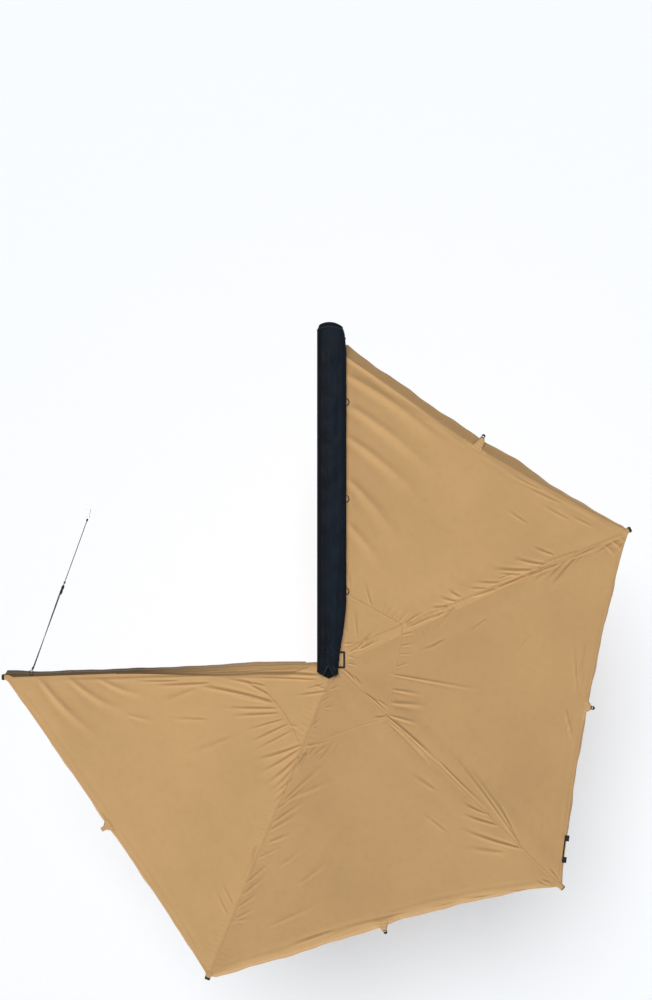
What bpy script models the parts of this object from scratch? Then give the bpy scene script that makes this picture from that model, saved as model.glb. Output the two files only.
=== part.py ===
"""A free-standing 270 degree side awning for a vehicle roof rack, shown opened out.

Four arms swing on a chain of vertical pins at the rear end of a backing extrusion. Each arm is an
inverted channel that holds a folding, telescoping leg. Four fabric panels span the arms, and the
empty travel bag lies folded back over the extrusion.
World frame: +Y to the vehicle's front, +X away from the vehicle, +Z up. The origin is the middle of
the middle rack bracket's foot, on its underside.
"""

import math

import bmesh
import bpy
from mathutils import Matrix, Vector
from mathutils.bvhtree import BVHTree

# Clearances
GAP = 0.0003
SEAM_GAP = 0.0004

# Backing extrusion
EXTRUSION_LENGTH = 2.000
EXTRUSION_DEPTH = 0.026
EXTRUSION_HEIGHT = 0.096
EXTRUSION_LIFT = 0.004
EXTRUSION_WALL = 0.0022
BEAD_BORE = 0.0066
BEAD_MOUTH = 0.0026
TOP_GROOVE_INSET = 0.0085
T_SLOT_HEIGHTS = (0.024, 0.070)
T_SLOT_MOUTH = 0.0086
T_SLOT_WIDTH = 0.0150
T_SLOT_DEPTH = 0.0090
T_SLOT_LIP = 0.0025

# Keder tapes
BEAD_DIAMETER = 0.0060
TAPE_THICKNESS = 0.0016
CANOPY_TAPE_REACH = 0.018
BAG_TAPE_REACH = 0.0020
TAPE_END_INSET = 0.030
TAPE_CLEARANCE_OVER_ARMS = 0.0006
CANOPY_GROOVE_DROP = 0.0130

# Rack brackets
BRACKET_END_INSET = 0.220
BRACKET_WIDTH = 0.060
BRACKET_FOOT = 0.080
BRACKET_HEIGHT = 0.086
BRACKET_PLATE = 0.006
BRACKET_INNER_RADIUS = 0.006
GUSSET_THICKNESS = 0.005
GUSSET_REACH = 0.040
GUSSET_RISE = 0.052
FOOT_SLOT_WIDTH = 0.009
FOOT_SLOT_LENGTH = 0.018
FOOT_SLOT_SPACING = 0.038
FOOT_SLOT_INSET = 0.003
BOLT_DIAMETER = 0.008
BOLT_NUT_ACROSS = 0.0150
BOLT_NUT_HEIGHT = 0.0065
T_HEAD_SIZE = 0.0140

# Hub: pins, knuckles and the clevis bracket at the end of the extrusion
HUB_PITCH = 0.036
HUB_SETBACK = 0.024
HUB_SIDE_OFFSET = 0.006
PIN_DIAMETER = 0.009
PIN_HEAD_DIAMETER = 0.016
PIN_HEAD_HEIGHT = 0.0045
PIN_NUT_DIAMETER = 0.014
PIN_NUT_HEIGHT = 0.006
LUG_RADIUS = 0.010
KNUCKLE_HEIGHT = 0.060
KNUCKLE_DROP = 0.006
EAR_THICKNESS = 0.014
WEB_THICKNESS = 0.012
WEB_BACK = 0.008
KNUCKLE_FRONT = 0.013
CHEEK_THICKNESS = 0.003
CHEEK_LENGTH = 0.068
CAST_STEP = 0.0008
BASE_PLATE = 0.006
BASE_SIDE_PLATE = 0.005
BASE_SIDE_LENGTH = 0.090

# Arms, as opened: angle from the arm before, and length from the pin to the tip
OPEN_ANGLES = (65.2, 69.1, 67.9, 65.8)
ARM_LENGTHS = (1.956, 1.912, 2.032, 1.999)
ARM_WIDTH = 0.028
ARM_DEPTH = 0.045
ARM_WALL = 0.0018
ARM_TOP_WALL = 0.0022
ARM_CORNER = 0.0025
ARM_GROOVE_WIDTH = 0.006
ARM_GROOVE_DEPTH = 0.0009
ARM_START = 0.044

# Tip caps
CAP_THICKNESS = 0.009
CAP_OVERHANG = 0.0016
CAP_PLUG = 0.042
CAP_CHEEK_DEPTH = 0.028

# Folding legs
LEG_PIVOT_SETBACK = 0.030
LEG_DROP = 0.0155
LEG_TUBE_DIAMETER = 0.020
LEG_TUBE_WALL = 0.0012
LEG_TUBE_START = 0.022
LEG_TUBE_END = 1.070
LEG_LUG_RADIUS = 0.009
LEG_LUG_THICKNESS = 0.012
LEG_PIN_DIAMETER = 0.008
LEG_OVERLAP = 0.740
LEG_INNER_SHOWS = 0.060
COLLAR_DIAMETER = 0.0234
COLLAR_LENGTH = 0.044
COLLAR_GRIP = 0.034
FOOT_CUP_DEPTH = 0.016
FOOT_CUP_WALL = 0.0018
FOOT_PLATE = 0.005
FOOT_RADIUS = 0.0115
FOOT_TAB = 0.026
PEG_HOLE = 0.008

# Canopy
FABRIC = 0.0015
PANEL_SAG = 0.022
FLAT_STRIP = 0.028
SAG_STRIP = 0.120
APEX_RADIUS = 0.016
CORNER_SETBACK = 0.012
CASE_EDGE_LENGTH = 1.914
EDGE_DIP = (0.053, 0.040, 0.046, 0.004)
SCALLOP_LEFT = (0.005, 0.010, 0.030, 0.006)
SCALLOP_RIGHT = (0.001, 0.010, -0.010, 0.002)
VALANCE_DROP = 0.070
VALANCE_FLARE_LEFT = (0.056, 0.014, 0.010, 0.014)
VALANCE_FLARE_RIGHT = (0.016, 0.014, 0.036, 0.014)
FLARE_TURN = (0.70, 0.50, 0.15, 0.50)
FLARE_TURN_WIDTH = 0.26
END_VALANCE_START = 0.150
END_VALANCE_FLARE = 0.020
ARM_STRIP = 0.020
SAG_REACH = 0.62
SAG_POWER = 1.3
PANEL_ROWS = (0, 0.04, 0.1, 0.2, 0.35, 0.5, 0.65, 0.8, 0.92, 1)
PANEL_COLUMNS = (0.08, 0.16, 0.25, 0.33, 0.42)
VALANCE_ROWS = (0.2, 0.6, 1)
END_VALANCE_BULGE = 0.012
END_VALANCE_STEPS = 14

# Travel bag, empty, lying back over the extrusion
BAG_LENGTH = 2.165
BAG_REAR_OVERHANG = 0.099
BAG_INBOARD = 0.126
BAG_OUTBOARD = 0.051
BAG_RISE = 0.046
BAG_SAG = 0.016
BAG_SAG_START = 0.070
BAG_SKIN = 0.0018
BAG_FRONT_TAPER = 0.030
BAG_FRONT_TUCK = 0.012
BAG_FRONT_BEVEL_LENGTH = 0.180
BAG_FRONT_BEVEL = 0.016
BAG_REAR_TAPER = 0.500
BAG_REAR_TUCK = 0.048
BAG_REAR_RISE = 0.72
BAG_FRONT_RISE = 0.75
BAG_MOUTH_TAPER = 0.200
BAG_RIPPLE = 0.0025
BAG_WAVES = (41, 97)
BAG_REST = 0.005
BAG_HEM_WIDTH = 0.022
BAG_HEM_DROP = 0.004
# Points of the bag's section: inset from its side, and share of the rise or of the sag
BAG_OUTBOARD_SIDE = ((0.006, 0.02), (0, 0.34), (0.004, 0.68), (0.018, 0.92), (0.055, 1))
BAG_INBOARD_SIDE = ((0.070, 0.98), (0.030, 0.88), (0.008, 0.62), (0, 0.20))
BAG_UNDERSIDE = ((0.010, 1), (0.040, 1.1))
BAG_STATIONS = (0, 0.012, 0.035, 0.07, 0.11, 0.17, 0.24, 0.31, 0.38, 0.45, 0.52)
BAG_STATIONS += (0.59, 0.66, 0.73, 0.80, 0.87, 0.93, 0.97, 0.987, 1)

# Straps, rings and the guy line
RING_DIAMETER = 0.050
RING_WIRE = 0.006
RING_PLACES = (1.583, 0.993, 0.429)
RING_TAB_WIDTH = 0.020
RING_TAB_THICKNESS = 0.0020
RING_TAB_LENGTH = 0.012
RING_UNDER_BAG = 0.004
LOOP_WIDTH = 0.050
LOOP_LENGTH = 0.104
LOOP_PLACE = 0.012
LOOP_BAR = 0.012
LOOP_THICKNESS = 0.005
CLIP_WIDTH = 0.022
CLIP_INSET = 0.015
CLIP_BEYOND = 0.030
CLIP_HOOK = 0.022
CLIP_TAB_WIDTH = 0.060
CLIP_SLOT = 0.007
CLIP_THICKNESS = 0.005
BUCKLE_FROM_TIP = 0.229
BUCKLE_LENGTH = 0.168
BUCKLE_WIDTH = 0.028
BUCKLE_THICKNESS = 0.004
BUCKLE_BLOCK = 0.036
BUCKLE_BAR = 0.008
BUCKLE_CHAMFER = 0.004
ROPE_DIAMETER = 0.005
ROPE_LENGTH = 1.000
ROPE_HEADING = 69.5
ROPE_PLACE = 1.825
ROPE_RISE = 0.035
ROPE_SAG = 0.012
ROPE_POINTS = 40
SLIDER_PLACE = 0.53
SLIDER_LENGTH = 0.060
SLIDER_DIAMETER = 0.018
GUY_RING_DIAMETER = 0.030
GUY_RING_WIRE = 0.004
GUY_RING_OFFSET = 0.012
GUY_TAB_LENGTH = 0.010
HOOK_WIRE = 0.005
HOOK_EYE = 0.009
HOOK_BEND = 0.013

# Colours: red, green, blue, roughness, metallic
FINISHES = {
    "anodised_aluminium": (0.55, 0.56, 0.57, 0.35, 1.0),
    "cast_aluminium": (0.16, 0.16, 0.17, 0.50, 0.9),
    "zinc_steel": (0.62, 0.62, 0.60, 0.35, 1.0),
    "black_plastic": (0.015, 0.015, 0.017, 0.45, 0.0),
    "rubber": (0.03, 0.03, 0.03, 0.80, 0.0),
    "canopy_canvas": (0.52, 0.34, 0.19, 0.85, 0.0),
    "bag_vinyl": (0.012, 0.018, 0.028, 0.40, 0.0),
    "black_webbing": (0.02, 0.02, 0.022, 0.75, 0.0),
    "rope": (0.05, 0.05, 0.055, 0.75, 0.0),
}

# Places worked out from the sizes above
EXTRUSION_BACK = BRACKET_FOOT / 2 + GAP
EXTRUSION_FACE = EXTRUSION_BACK + EXTRUSION_DEPTH
EXTRUSION_TOP = EXTRUSION_LIFT + EXTRUSION_HEIGHT
OUTER_BRACKET_PLACE = EXTRUSION_LENGTH / 2 - BRACKET_END_INSET
BRACKET_PLACES = (-OUTER_BRACKET_PLACE, 0, OUTER_BRACKET_PLACE)
CANOPY_GROOVE_Z = EXTRUSION_TOP - CANOPY_GROOVE_DROP
ARM_TOP = CANOPY_GROOVE_Z - TAPE_THICKNESS / 2 - TAPE_CLEARANCE_OVER_ARMS
HUB = Vector((EXTRUSION_FACE + HUB_SIDE_OFFSET, -EXTRUSION_LENGTH / 2 - HUB_SETBACK, ARM_TOP))
CANOPY_LINE = EXTRUSION_FACE + GAP
ARM_COUNT = len(ARM_LENGTHS)
KNUCKLE_TOP = -KNUCKLE_DROP
KNUCKLE_BOTTOM = KNUCKLE_TOP - KNUCKLE_HEIGHT
WEB_CENTRE = -HUB_PITCH / 2
BLOCK_WIDTH = ARM_WIDTH + 2 * (GAP + CHEEK_THICKNESS + CAST_STEP / 2)
LEG_INNER_DIAMETER = LEG_TUBE_DIAMETER - 2 * LEG_TUBE_WALL - 2 * GAP
LEG_INNER_START = LEG_TUBE_END - LEG_OVERLAP
LEG_INNER_END = LEG_TUBE_END + LEG_INNER_SHOWS


# Scene, collections and materials
def clear_scene():
    for thing in list(bpy.data.objects):
        bpy.data.objects.remove(thing, do_unlink=True)


def new_collection(name):
    made = bpy.data.collections.new(name)
    bpy.context.scene.collection.children.link(made)
    return made


def new_materials():
    made = {}
    for name, (red, green, blue, roughness, metallic) in FINISHES.items():
        material = bpy.data.materials.new(name)
        material.use_nodes = True
        shader = material.node_tree.nodes["Principled BSDF"]
        shader.inputs["Base Color"].default_value = (red, green, blue, 1)
        shader.inputs["Roughness"].default_value = roughness
        shader.inputs["Metallic"].default_value = metallic
        made[name] = material
    return made


# Mesh tools
def scratch(data):
    thing = bpy.data.objects.new("scratch", data)
    bpy.context.scene.collection.objects.link(thing)
    return thing


def evaluated(thing):
    """The thing's mesh as its modifiers or its curve settings leave it, welded. The thing is removed."""
    bpy.context.view_layer.update()
    graph = bpy.context.evaluated_depsgraph_get()
    mesh = bpy.data.meshes.new_from_object(thing.evaluated_get(graph))
    bpy.data.objects.remove(thing, do_unlink=True)
    shape = bmesh.new()
    shape.from_mesh(mesh)
    bmesh.ops.remove_doubles(shape, verts=shape.verts, dist=1e-6)
    bmesh.ops.recalc_face_normals(shape, faces=shape.faces)
    shape.to_mesh(mesh)
    shape.free()
    return mesh


def moved(mesh, matrix):
    mesh.transform(matrix)
    return mesh


def outline(loops, thickness):
    """A flat plate in XY, centred on Z, from one outer loop and the loops of its holes."""
    curve = bpy.data.curves.new("outline", "CURVE")
    curve.dimensions = "2D"
    curve.fill_mode = "BOTH"
    curve.extrude = thickness / 2
    for loop in loops:
        spline = curve.splines.new("POLY")
        spline.points.add(len(loop) - 1)
        for point, (x, y) in zip(spline.points, loop):
            point.co = (x, y, 0, 1)
        spline.use_cyclic_u = True
    return evaluated(scratch(curve))


def turned(profile, sides, closed):
    """A shape turned about Z from a profile of (radius, height). A closed profile gives a ring."""
    mesh = bpy.data.meshes.new("profile")
    shape = bmesh.new()
    points = [shape.verts.new((radius, 0, height)) for radius, height in profile]
    for first, second in zip(points, points[1:]):
        shape.edges.new((first, second))
    if closed:
        shape.edges.new((points[-1], points[0]))
    shape.to_mesh(mesh)
    shape.free()
    thing = scratch(mesh)
    screw = thing.modifiers.new("turn", "SCREW")
    screw.steps = sides
    screw.render_steps = sides
    screw.use_merge_vertices = True
    screw.merge_threshold = 0.00001
    return evaluated(thing)


def block(low, high):
    """A box between two corners."""
    shape = bmesh.new()
    bmesh.ops.create_cube(shape, size=1)
    low, high = Vector(low), Vector(high)
    size = high - low
    bmesh.ops.scale(shape, vec=size, verts=shape.verts)
    bmesh.ops.translate(shape, vec=(low + high) / 2, verts=shape.verts)
    mesh = bpy.data.meshes.new("block")
    shape.to_mesh(mesh)
    shape.free()
    return mesh


def rod(diameter, start, end, sides):
    """A straight round rod between two points."""
    start, end = Vector(start), Vector(end)
    along = end - start
    shape = bmesh.new()
    bmesh.ops.create_cone(
        shape,
        cap_ends=True,
        segments=sides,
        radius1=diameter / 2,
        radius2=diameter / 2,
        depth=along.length,
    )
    turn = along.to_track_quat("Z", "Y").to_matrix().to_4x4()
    bmesh.ops.transform(shape, matrix=Matrix.Translation((start + end) / 2) @ turn, verts=shape.verts)
    mesh = bpy.data.meshes.new("rod")
    shape.to_mesh(mesh)
    shape.free()
    return mesh


def combined(base, others, operation):
    """The base mesh joined with, or cut by, each of the other meshes."""
    thing = scratch(base)
    tools = [scratch(other) for other in others]
    for tool in tools:
        step = thing.modifiers.new("step", "BOOLEAN")
        step.operation = operation
        step.object = tool
        step.solver = "EXACT"
    mesh = evaluated(thing)
    for tool in tools:
        bpy.data.objects.remove(tool, do_unlink=True)
    return mesh


def joined(base, *others):
    return combined(base, others, "UNION")


def cut(base, *others):
    return combined(base, others, "DIFFERENCE")


def arc(centre, radius, start, end, steps):
    """Points on an arc, angles in degrees, both ends included."""
    points = []
    for step in range(steps + 1):
        angle = math.radians(start + (end - start) * step / steps)
        points.append((centre[0] + radius * math.cos(angle), centre[1] + radius * math.sin(angle)))
    return points


def circle(centre, radius, sides):
    return arc(centre, radius, 0, 360 * (sides - 1) / sides, sides - 1)


def rounded_box(low, high, radius, steps):
    """A rectangle's outline with round corners."""
    corners = (
        ((high[0] - radius, low[1] + radius), -90),
        ((high[0] - radius, high[1] - radius), 0),
        ((low[0] + radius, high[1] - radius), 90),
        ((low[0] + radius, low[1] + radius), 180),
    )
    points = []
    for centre, start in corners:
        points += arc(centre, radius, start, start + 90, steps)
    return points


def tube(points, diameter, resolution):
    """A round wire along points, with filled ends."""
    curve = bpy.data.curves.new("wire", "CURVE")
    curve.dimensions = "3D"
    curve.bevel_depth = diameter / 2
    curve.bevel_resolution = resolution
    curve.use_fill_caps = True
    spline = curve.splines.new("POLY")
    spline.points.add(len(points) - 1)
    for target, point in zip(spline.points, points):
        target.co = (*point, 1)
    return evaluated(scratch(curve))


def shell(rows, thickness, closed_rows=False):
    """A skin over a grid of points, thickened up or inwards. Closed rows run round to a capped end."""
    shape = bmesh.new()
    grid = [[shape.verts.new(point) for point in row] for row in rows]
    count = len(rows[0])
    last = count if closed_rows else count - 1
    for row, following in zip(grid, grid[1:]):
        for place in range(last):
            after = (place + 1) % count
            shape.faces.new((row[place], row[after], following[after], following[place]))
    if closed_rows:
        shape.faces.new(grid[-1])
    mesh = bpy.data.meshes.new("shell")
    shape.to_mesh(mesh)
    shape.free()
    thing = scratch(mesh)
    solid = thing.modifiers.new("thickness", "SOLIDIFY")
    solid.thickness = thickness
    solid.offset = 1
    solid.use_even_offset = True
    return evaluated(thing)


# Frames that pieces are placed in
def frame(origin, heading):
    """X along the heading in degrees, Y to its left, Z up."""
    return Matrix.Translation(origin) @ Matrix.Rotation(math.radians(heading), 4, "Z")


def hub_frames():
    """The base's frame, then each arm's: X along the arm, origin on its pin, Z 0 at the arms' top."""
    frames = [frame(HUB + Vector((-HUB_PITCH, 0, 0)), 90)]
    heading = 90
    for opened in OPEN_ANGLES:
        heading -= opened
        pin = frames[-1] @ Vector((0, -HUB_PITCH, 0))
        frames.append(frame(pin, heading))
    return frames


ALONG_X = Matrix(((0, 0, 1, 0), (1, 0, 0, 0), (0, 1, 0, 0), (0, 0, 0, 1)))  # outline XY to YZ
SIDE_ON = Matrix.Rotation(math.radians(90), 4, "X")  # outline XY to XZ
LEG_TURN = Matrix.Rotation(math.radians(-90), 4, "Y")  # leg's Z from the tip towards the hub


# Backing extrusion and its end cap
def bead_groove(centre, heading):
    """The outline of a round groove that opens along the heading, walked with metal on the left."""
    radius = BEAD_BORE / 2
    half = math.degrees(math.asin(BEAD_MOUTH / 2 / radius))
    return arc(centre, radius, heading - half, heading + half - 360, 12)


def t_slot(height):
    half_mouth, half_width = T_SLOT_MOUTH / 2, T_SLOT_WIDTH / 2
    return [
        (0, height + half_mouth),
        (T_SLOT_LIP, height + half_mouth),
        (T_SLOT_LIP, height + half_width),
        (T_SLOT_DEPTH, height + half_width),
        (T_SLOT_DEPTH, height - half_width),
        (T_SLOT_LIP, height - half_width),
        (T_SLOT_LIP, height - half_mouth),
        (0, height - half_mouth),
    ]


def groove_centres():
    """Centres of the canopy's groove, in the face, and of the bag's groove, in the top."""
    depth = BEAD_BORE / 2 + EXTRUSION_WALL / 2
    side = (EXTRUSION_DEPTH - depth, EXTRUSION_HEIGHT - CANOPY_GROOVE_DROP)
    top = (TOP_GROOVE_INSET, EXTRUSION_HEIGHT - depth)
    return side, top


def chambers():
    """The hollow chambers between the T slots' floor and the face, as (low, high) corners."""
    side, _ = groove_centres()
    left = T_SLOT_DEPTH + EXTRUSION_WALL
    right = EXTRUSION_DEPTH - EXTRUSION_WALL
    ceiling = side[1] - BEAD_BORE / 2 - EXTRUSION_WALL
    middle = (T_SLOT_HEIGHTS[0] + T_SLOT_HEIGHTS[1]) / 2
    return [
        ((left, EXTRUSION_WALL), (right, middle - EXTRUSION_WALL / 2)),
        ((left, middle + EXTRUSION_WALL / 2), (right, ceiling)),
    ]


def backing_extrusion():
    side, top = groove_centres()
    half_mouth = BEAD_MOUTH / 2
    loop = [(0, 0), (EXTRUSION_DEPTH, 0), (EXTRUSION_DEPTH, side[1] - half_mouth)]
    loop += bead_groove(side, 0)
    loop += [(EXTRUSION_DEPTH, side[1] + half_mouth), (EXTRUSION_DEPTH, EXTRUSION_HEIGHT)]
    loop += [(top[0] + half_mouth, EXTRUSION_HEIGHT)]
    loop += bead_groove(top, 90)
    loop += [(top[0] - half_mouth, EXTRUSION_HEIGHT), (0, EXTRUSION_HEIGHT)]
    for height in reversed(T_SLOT_HEIGHTS):
        loop += t_slot(height)
    holes = [rounded_box(low, high, EXTRUSION_WALL / 2, 1) for low, high in chambers()]
    mesh = outline([loop, *holes], EXTRUSION_LENGTH)
    return moved(mesh, Matrix.Translation((EXTRUSION_BACK, 0, EXTRUSION_LIFT)) @ SIDE_ON)


def extrusion_end_cap():
    """A moulded cap over the front end, with a plug in each chamber."""
    plate, plug = 0.003, 0.012
    start = EXTRUSION_LENGTH / 2 + GAP
    cover = outline([rounded_box((0, 0), (EXTRUSION_DEPTH, EXTRUSION_HEIGHT), 0.003, 2)], plate)
    place = Matrix.Translation((EXTRUSION_BACK, start + plate / 2, EXTRUSION_LIFT)) @ SIDE_ON
    plugs = []
    for low, high in chambers():
        near = (low[0] + GAP, low[1] + GAP)
        far = (high[0] - GAP, high[1] - GAP)
        filler = outline([rounded_box(near, far, EXTRUSION_WALL / 2, 1)], plug)
        plugs.append(moved(filler, place @ Matrix.Translation((0, 0, plug / 2))))
    return joined(moved(cover, place), *plugs)


# Rack brackets
def rack_bracket(place):
    """An angle bracket with gussets, and the two T bolts that clamp it to the extrusion."""
    face = BRACKET_FOOT / 2
    inner = face - BRACKET_PLATE
    bend = (inner - BRACKET_INNER_RADIUS, BRACKET_PLATE + BRACKET_INNER_RADIUS)
    side = [(-face, 0), (face, 0), (face, BRACKET_HEIGHT), (inner, BRACKET_HEIGHT)]
    side += arc(bend, BRACKET_INNER_RADIUS, 0, -90, 3)
    side += [(-face, BRACKET_PLATE)]
    angle = moved(outline([side], BRACKET_WIDTH), SIDE_ON)
    overlap = BRACKET_PLATE / 2
    gusset = [
        (inner - GUSSET_REACH, overlap),
        (inner + overlap, overlap),
        (inner + overlap, BRACKET_PLATE + GUSSET_RISE),
        (inner, BRACKET_PLATE + GUSSET_RISE),
        (inner - GUSSET_REACH, BRACKET_PLATE),
    ]
    spread = (BRACKET_WIDTH - GUSSET_THICKNESS) / 2 - GUSSET_THICKNESS / 4
    extras = []
    for way in (-1, 1):
        rib = moved(outline([gusset], GUSSET_THICKNESS), SIDE_ON)
        extras.append(moved(rib, Matrix.Translation((0, way * spread, 0))))
    for height in T_SLOT_HEIGHTS:
        level = EXTRUSION_LIFT + height
        head = EXTRUSION_BACK + T_SLOT_LIP + GAP
        head_end = EXTRUSION_BACK + T_SLOT_DEPTH - GAP
        half = T_HEAD_SIZE / 2
        nut_start = (inner - BOLT_NUT_HEIGHT, 0, level)
        extras.append(rod(BOLT_DIAMETER, nut_start, (head + half / 4, 0, level), 12))
        extras.append(block((head, -half, level - half), (head_end, half, level + half)))
        extras.append(rod(BOLT_NUT_ACROSS, nut_start, (inner + overlap, 0, level), 6))
    slots = []
    for way in (-1, 1):
        middle = way * FOOT_SLOT_SPACING / 2 - FOOT_SLOT_INSET
        low = (middle - FOOT_SLOT_LENGTH / 2, -FOOT_SLOT_WIDTH / 2)
        high = (middle + FOOT_SLOT_LENGTH / 2, FOOT_SLOT_WIDTH / 2)
        slots.append(outline([rounded_box(low, high, FOOT_SLOT_WIDTH * 0.499, 8)], 4 * BRACKET_PLATE))
    mesh = cut(joined(angle, *extras), *slots)
    return moved(mesh, Matrix.Translation((0, place, 0)))


# Hub
def lug(centre, way, top, bottom):
    """A lug from the web's middle to a pin, with the pin's bore. Way is 1 for Y up, -1 for Y down."""
    edge = [(way * LUG_RADIUS, WEB_CENTRE), (-way * LUG_RADIUS, WEB_CENTRE)]
    start = 180 if way > 0 else 0
    curve = arc(centre, LUG_RADIUS, start, start - 180, 10)
    bore = circle(centre, PIN_DIAMETER / 2 + GAP, 16)
    plate = outline([edge + curve, bore], top - bottom)
    return moved(plate, Matrix.Translation((0, 0, (top + bottom) / 2)))


def clevis_lugs():
    """The two outer lugs, at the pin of the next arm."""
    centre = (0, -HUB_PITCH)
    upper = lug(centre, -1, KNUCKLE_TOP, KNUCKLE_TOP - EAR_THICKNESS)
    lower = lug(centre, -1, KNUCKLE_BOTTOM + EAR_THICKNESS, KNUCKLE_BOTTOM)
    return [upper, lower]


def tongue_lug():
    """The middle lug, at the arm's own pin, between the lugs of the piece before."""
    top = KNUCKLE_TOP - EAR_THICKNESS - GAP
    bottom = KNUCKLE_BOTTOM + EAR_THICKNESS + GAP
    return lug((0, 0), 1, top, bottom)


def web(front):
    """The wall that joins the lugs, a step short of their top and bottom."""
    half = WEB_THICKNESS / 2
    low = (-WEB_BACK, WEB_CENTRE - half, KNUCKLE_BOTTOM + CAST_STEP)
    return block(low, (front, WEB_CENTRE + half, KNUCKLE_TOP - CAST_STEP))


def side_piece(profile, near, far):
    """A side profile in X and Z, between two places in Y."""
    plate = moved(outline([profile], abs(far - near)), SIDE_ON)
    return moved(plate, Matrix.Translation((0, (near + far) / 2, 0)))


def knuckle(last):
    """A cast knuckle: lugs, web, a tapered block and two cheeks that hold the arm's end."""
    lip = 0.001
    block_end = ARM_START - GAP
    shoulder = KNUCKLE_FRONT + 0.55 * (block_end - KNUCKLE_FRONT)
    side = [
        (KNUCKLE_FRONT, KNUCKLE_BOTTOM + 2 * CAST_STEP),
        (shoulder, KNUCKLE_BOTTOM + 2 * CAST_STEP),
        (block_end, -ARM_DEPTH),
        (block_end, -lip),
        (shoulder + lip, -lip),
        (KNUCKLE_FRONT, KNUCKLE_TOP - 2 * CAST_STEP),
    ]
    half = BLOCK_WIDTH / 2
    body = side_piece(side, WEB_CENTRE - half, WEB_CENTRE + half)
    cheek_end = ARM_START + CHEEK_LENGTH
    cheek = [
        (shoulder, -ARM_DEPTH + lip),
        (cheek_end - ARM_DEPTH / 3, -ARM_DEPTH + lip),
        (cheek_end, -ARM_DEPTH * 0.6),
        (cheek_end, -2 * lip),
        (shoulder, -2 * lip),
    ]
    pieces = [web(KNUCKLE_FRONT + WEB_THICKNESS), tongue_lug()]
    for way in (-1, 1):
        inner = WEB_CENTRE + way * (ARM_WIDTH / 2 + GAP)
        pieces.append(side_piece(cheek, inner, inner + way * CHEEK_THICKNESS))
    if not last:
        pieces += clevis_lugs()
    return joined(body, *pieces)


def hub_base_bracket():
    """The clevis bracket: end plate, side plate, web and the two lugs of the first pin."""
    end = HUB_SETBACK - GAP
    back_side = -(HUB_PITCH - HUB_SIDE_OFFSET - EXTRUSION_DEPTH)
    face_side = -(HUB_PITCH - HUB_SIDE_OFFSET)
    low_z = EXTRUSION_LIFT - ARM_TOP
    high_z = -TAPE_THICKNESS - GAP
    plate = block((end - BASE_PLATE, face_side - BASE_SIDE_PLATE, low_z), (end, back_side, high_z))
    outer = face_side - GAP - BASE_SIDE_PLATE
    flank = [
        (end - BASE_PLATE / 2, low_z),
        (end + BASE_SIDE_LENGTH * 0.7, low_z),
        (end + BASE_SIDE_LENGTH, low_z / 2),
        (end + BASE_SIDE_LENGTH, high_z),
        (end - BASE_PLATE / 2, high_z),
    ]
    side = side_piece(flank, outer, outer + BASE_SIDE_PLATE)
    pieces = [side, web(end - BASE_PLATE / 2), *clevis_lugs()]
    rib = [
        (end - BASE_PLATE / 2, KNUCKLE_BOTTOM),
        (end - BASE_PLATE / 2, low_z),
        (end - BASE_PLATE, low_z),
        (-WEB_BACK, KNUCKLE_BOTTOM),
        (-WEB_BACK, KNUCKLE_BOTTOM + BASE_PLATE),
        (end - BASE_PLATE / 2, KNUCKLE_BOTTOM + BASE_PLATE),
    ]
    pieces.append(side_piece(rib, WEB_CENTRE - WEB_THICKNESS / 4, WEB_CENTRE + WEB_THICKNESS / 4))
    for level in (low_z + BASE_PLATE * 1.5, high_z - BASE_PLATE * 1.5):
        across = back_side - BASE_PLATE
        start = (end - 1.6 * BASE_PLATE, across, level)
        pieces.append(rod(BOLT_DIAMETER * 1.2, start, (end - BASE_PLATE / 2, across, level), 12))
    return joined(plate, *pieces)


def hinge_pin():
    """A shouldered pin: domed head above the lugs, round nut below."""
    head_top = KNUCKLE_TOP + GAP + PIN_HEAD_HEIGHT
    nut_bottom = KNUCKLE_BOTTOM - GAP - PIN_NUT_HEIGHT
    head, nut, shank = PIN_HEAD_DIAMETER / 2, PIN_NUT_DIAMETER / 2, PIN_DIAMETER / 2
    profile = [
        (0, head_top),
        (head * 0.75, head_top),
        (head, head_top - PIN_HEAD_HEIGHT / 3),
        (head, KNUCKLE_TOP + GAP),
        (shank, KNUCKLE_TOP + GAP),
        (shank, KNUCKLE_BOTTOM - GAP),
        (nut, KNUCKLE_BOTTOM - GAP),
        (nut, nut_bottom),
        (0, nut_bottom),
    ]
    return turned(profile, 16, False)


# Arms and tip caps
def arm(length):
    """An inverted channel with a screw groove along its top."""
    half, wall = ARM_WIDTH / 2, ARM_WALL
    groove = ARM_GROOVE_WIDTH / 2
    loop = [
        (-half, -ARM_DEPTH),
        (-half + wall, -ARM_DEPTH),
        (-half + wall, -ARM_TOP_WALL),
        (half - wall, -ARM_TOP_WALL),
        (half - wall, -ARM_DEPTH),
        (half, -ARM_DEPTH),
    ]
    loop += arc((half - ARM_CORNER, -ARM_CORNER), ARM_CORNER, 0, 90, 3)
    loop += [(groove, 0), (groove, -ARM_GROOVE_DEPTH), (-groove, -ARM_GROOVE_DEPTH), (-groove, 0)]
    loop += arc((-half + ARM_CORNER, -ARM_CORNER), ARM_CORNER, 90, 180, 3)
    span = length - ARM_START
    place = Matrix.Translation((ARM_START + span / 2, WEB_CENTRE, 0))
    return moved(outline([loop], span), place @ ALONG_X)


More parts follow.
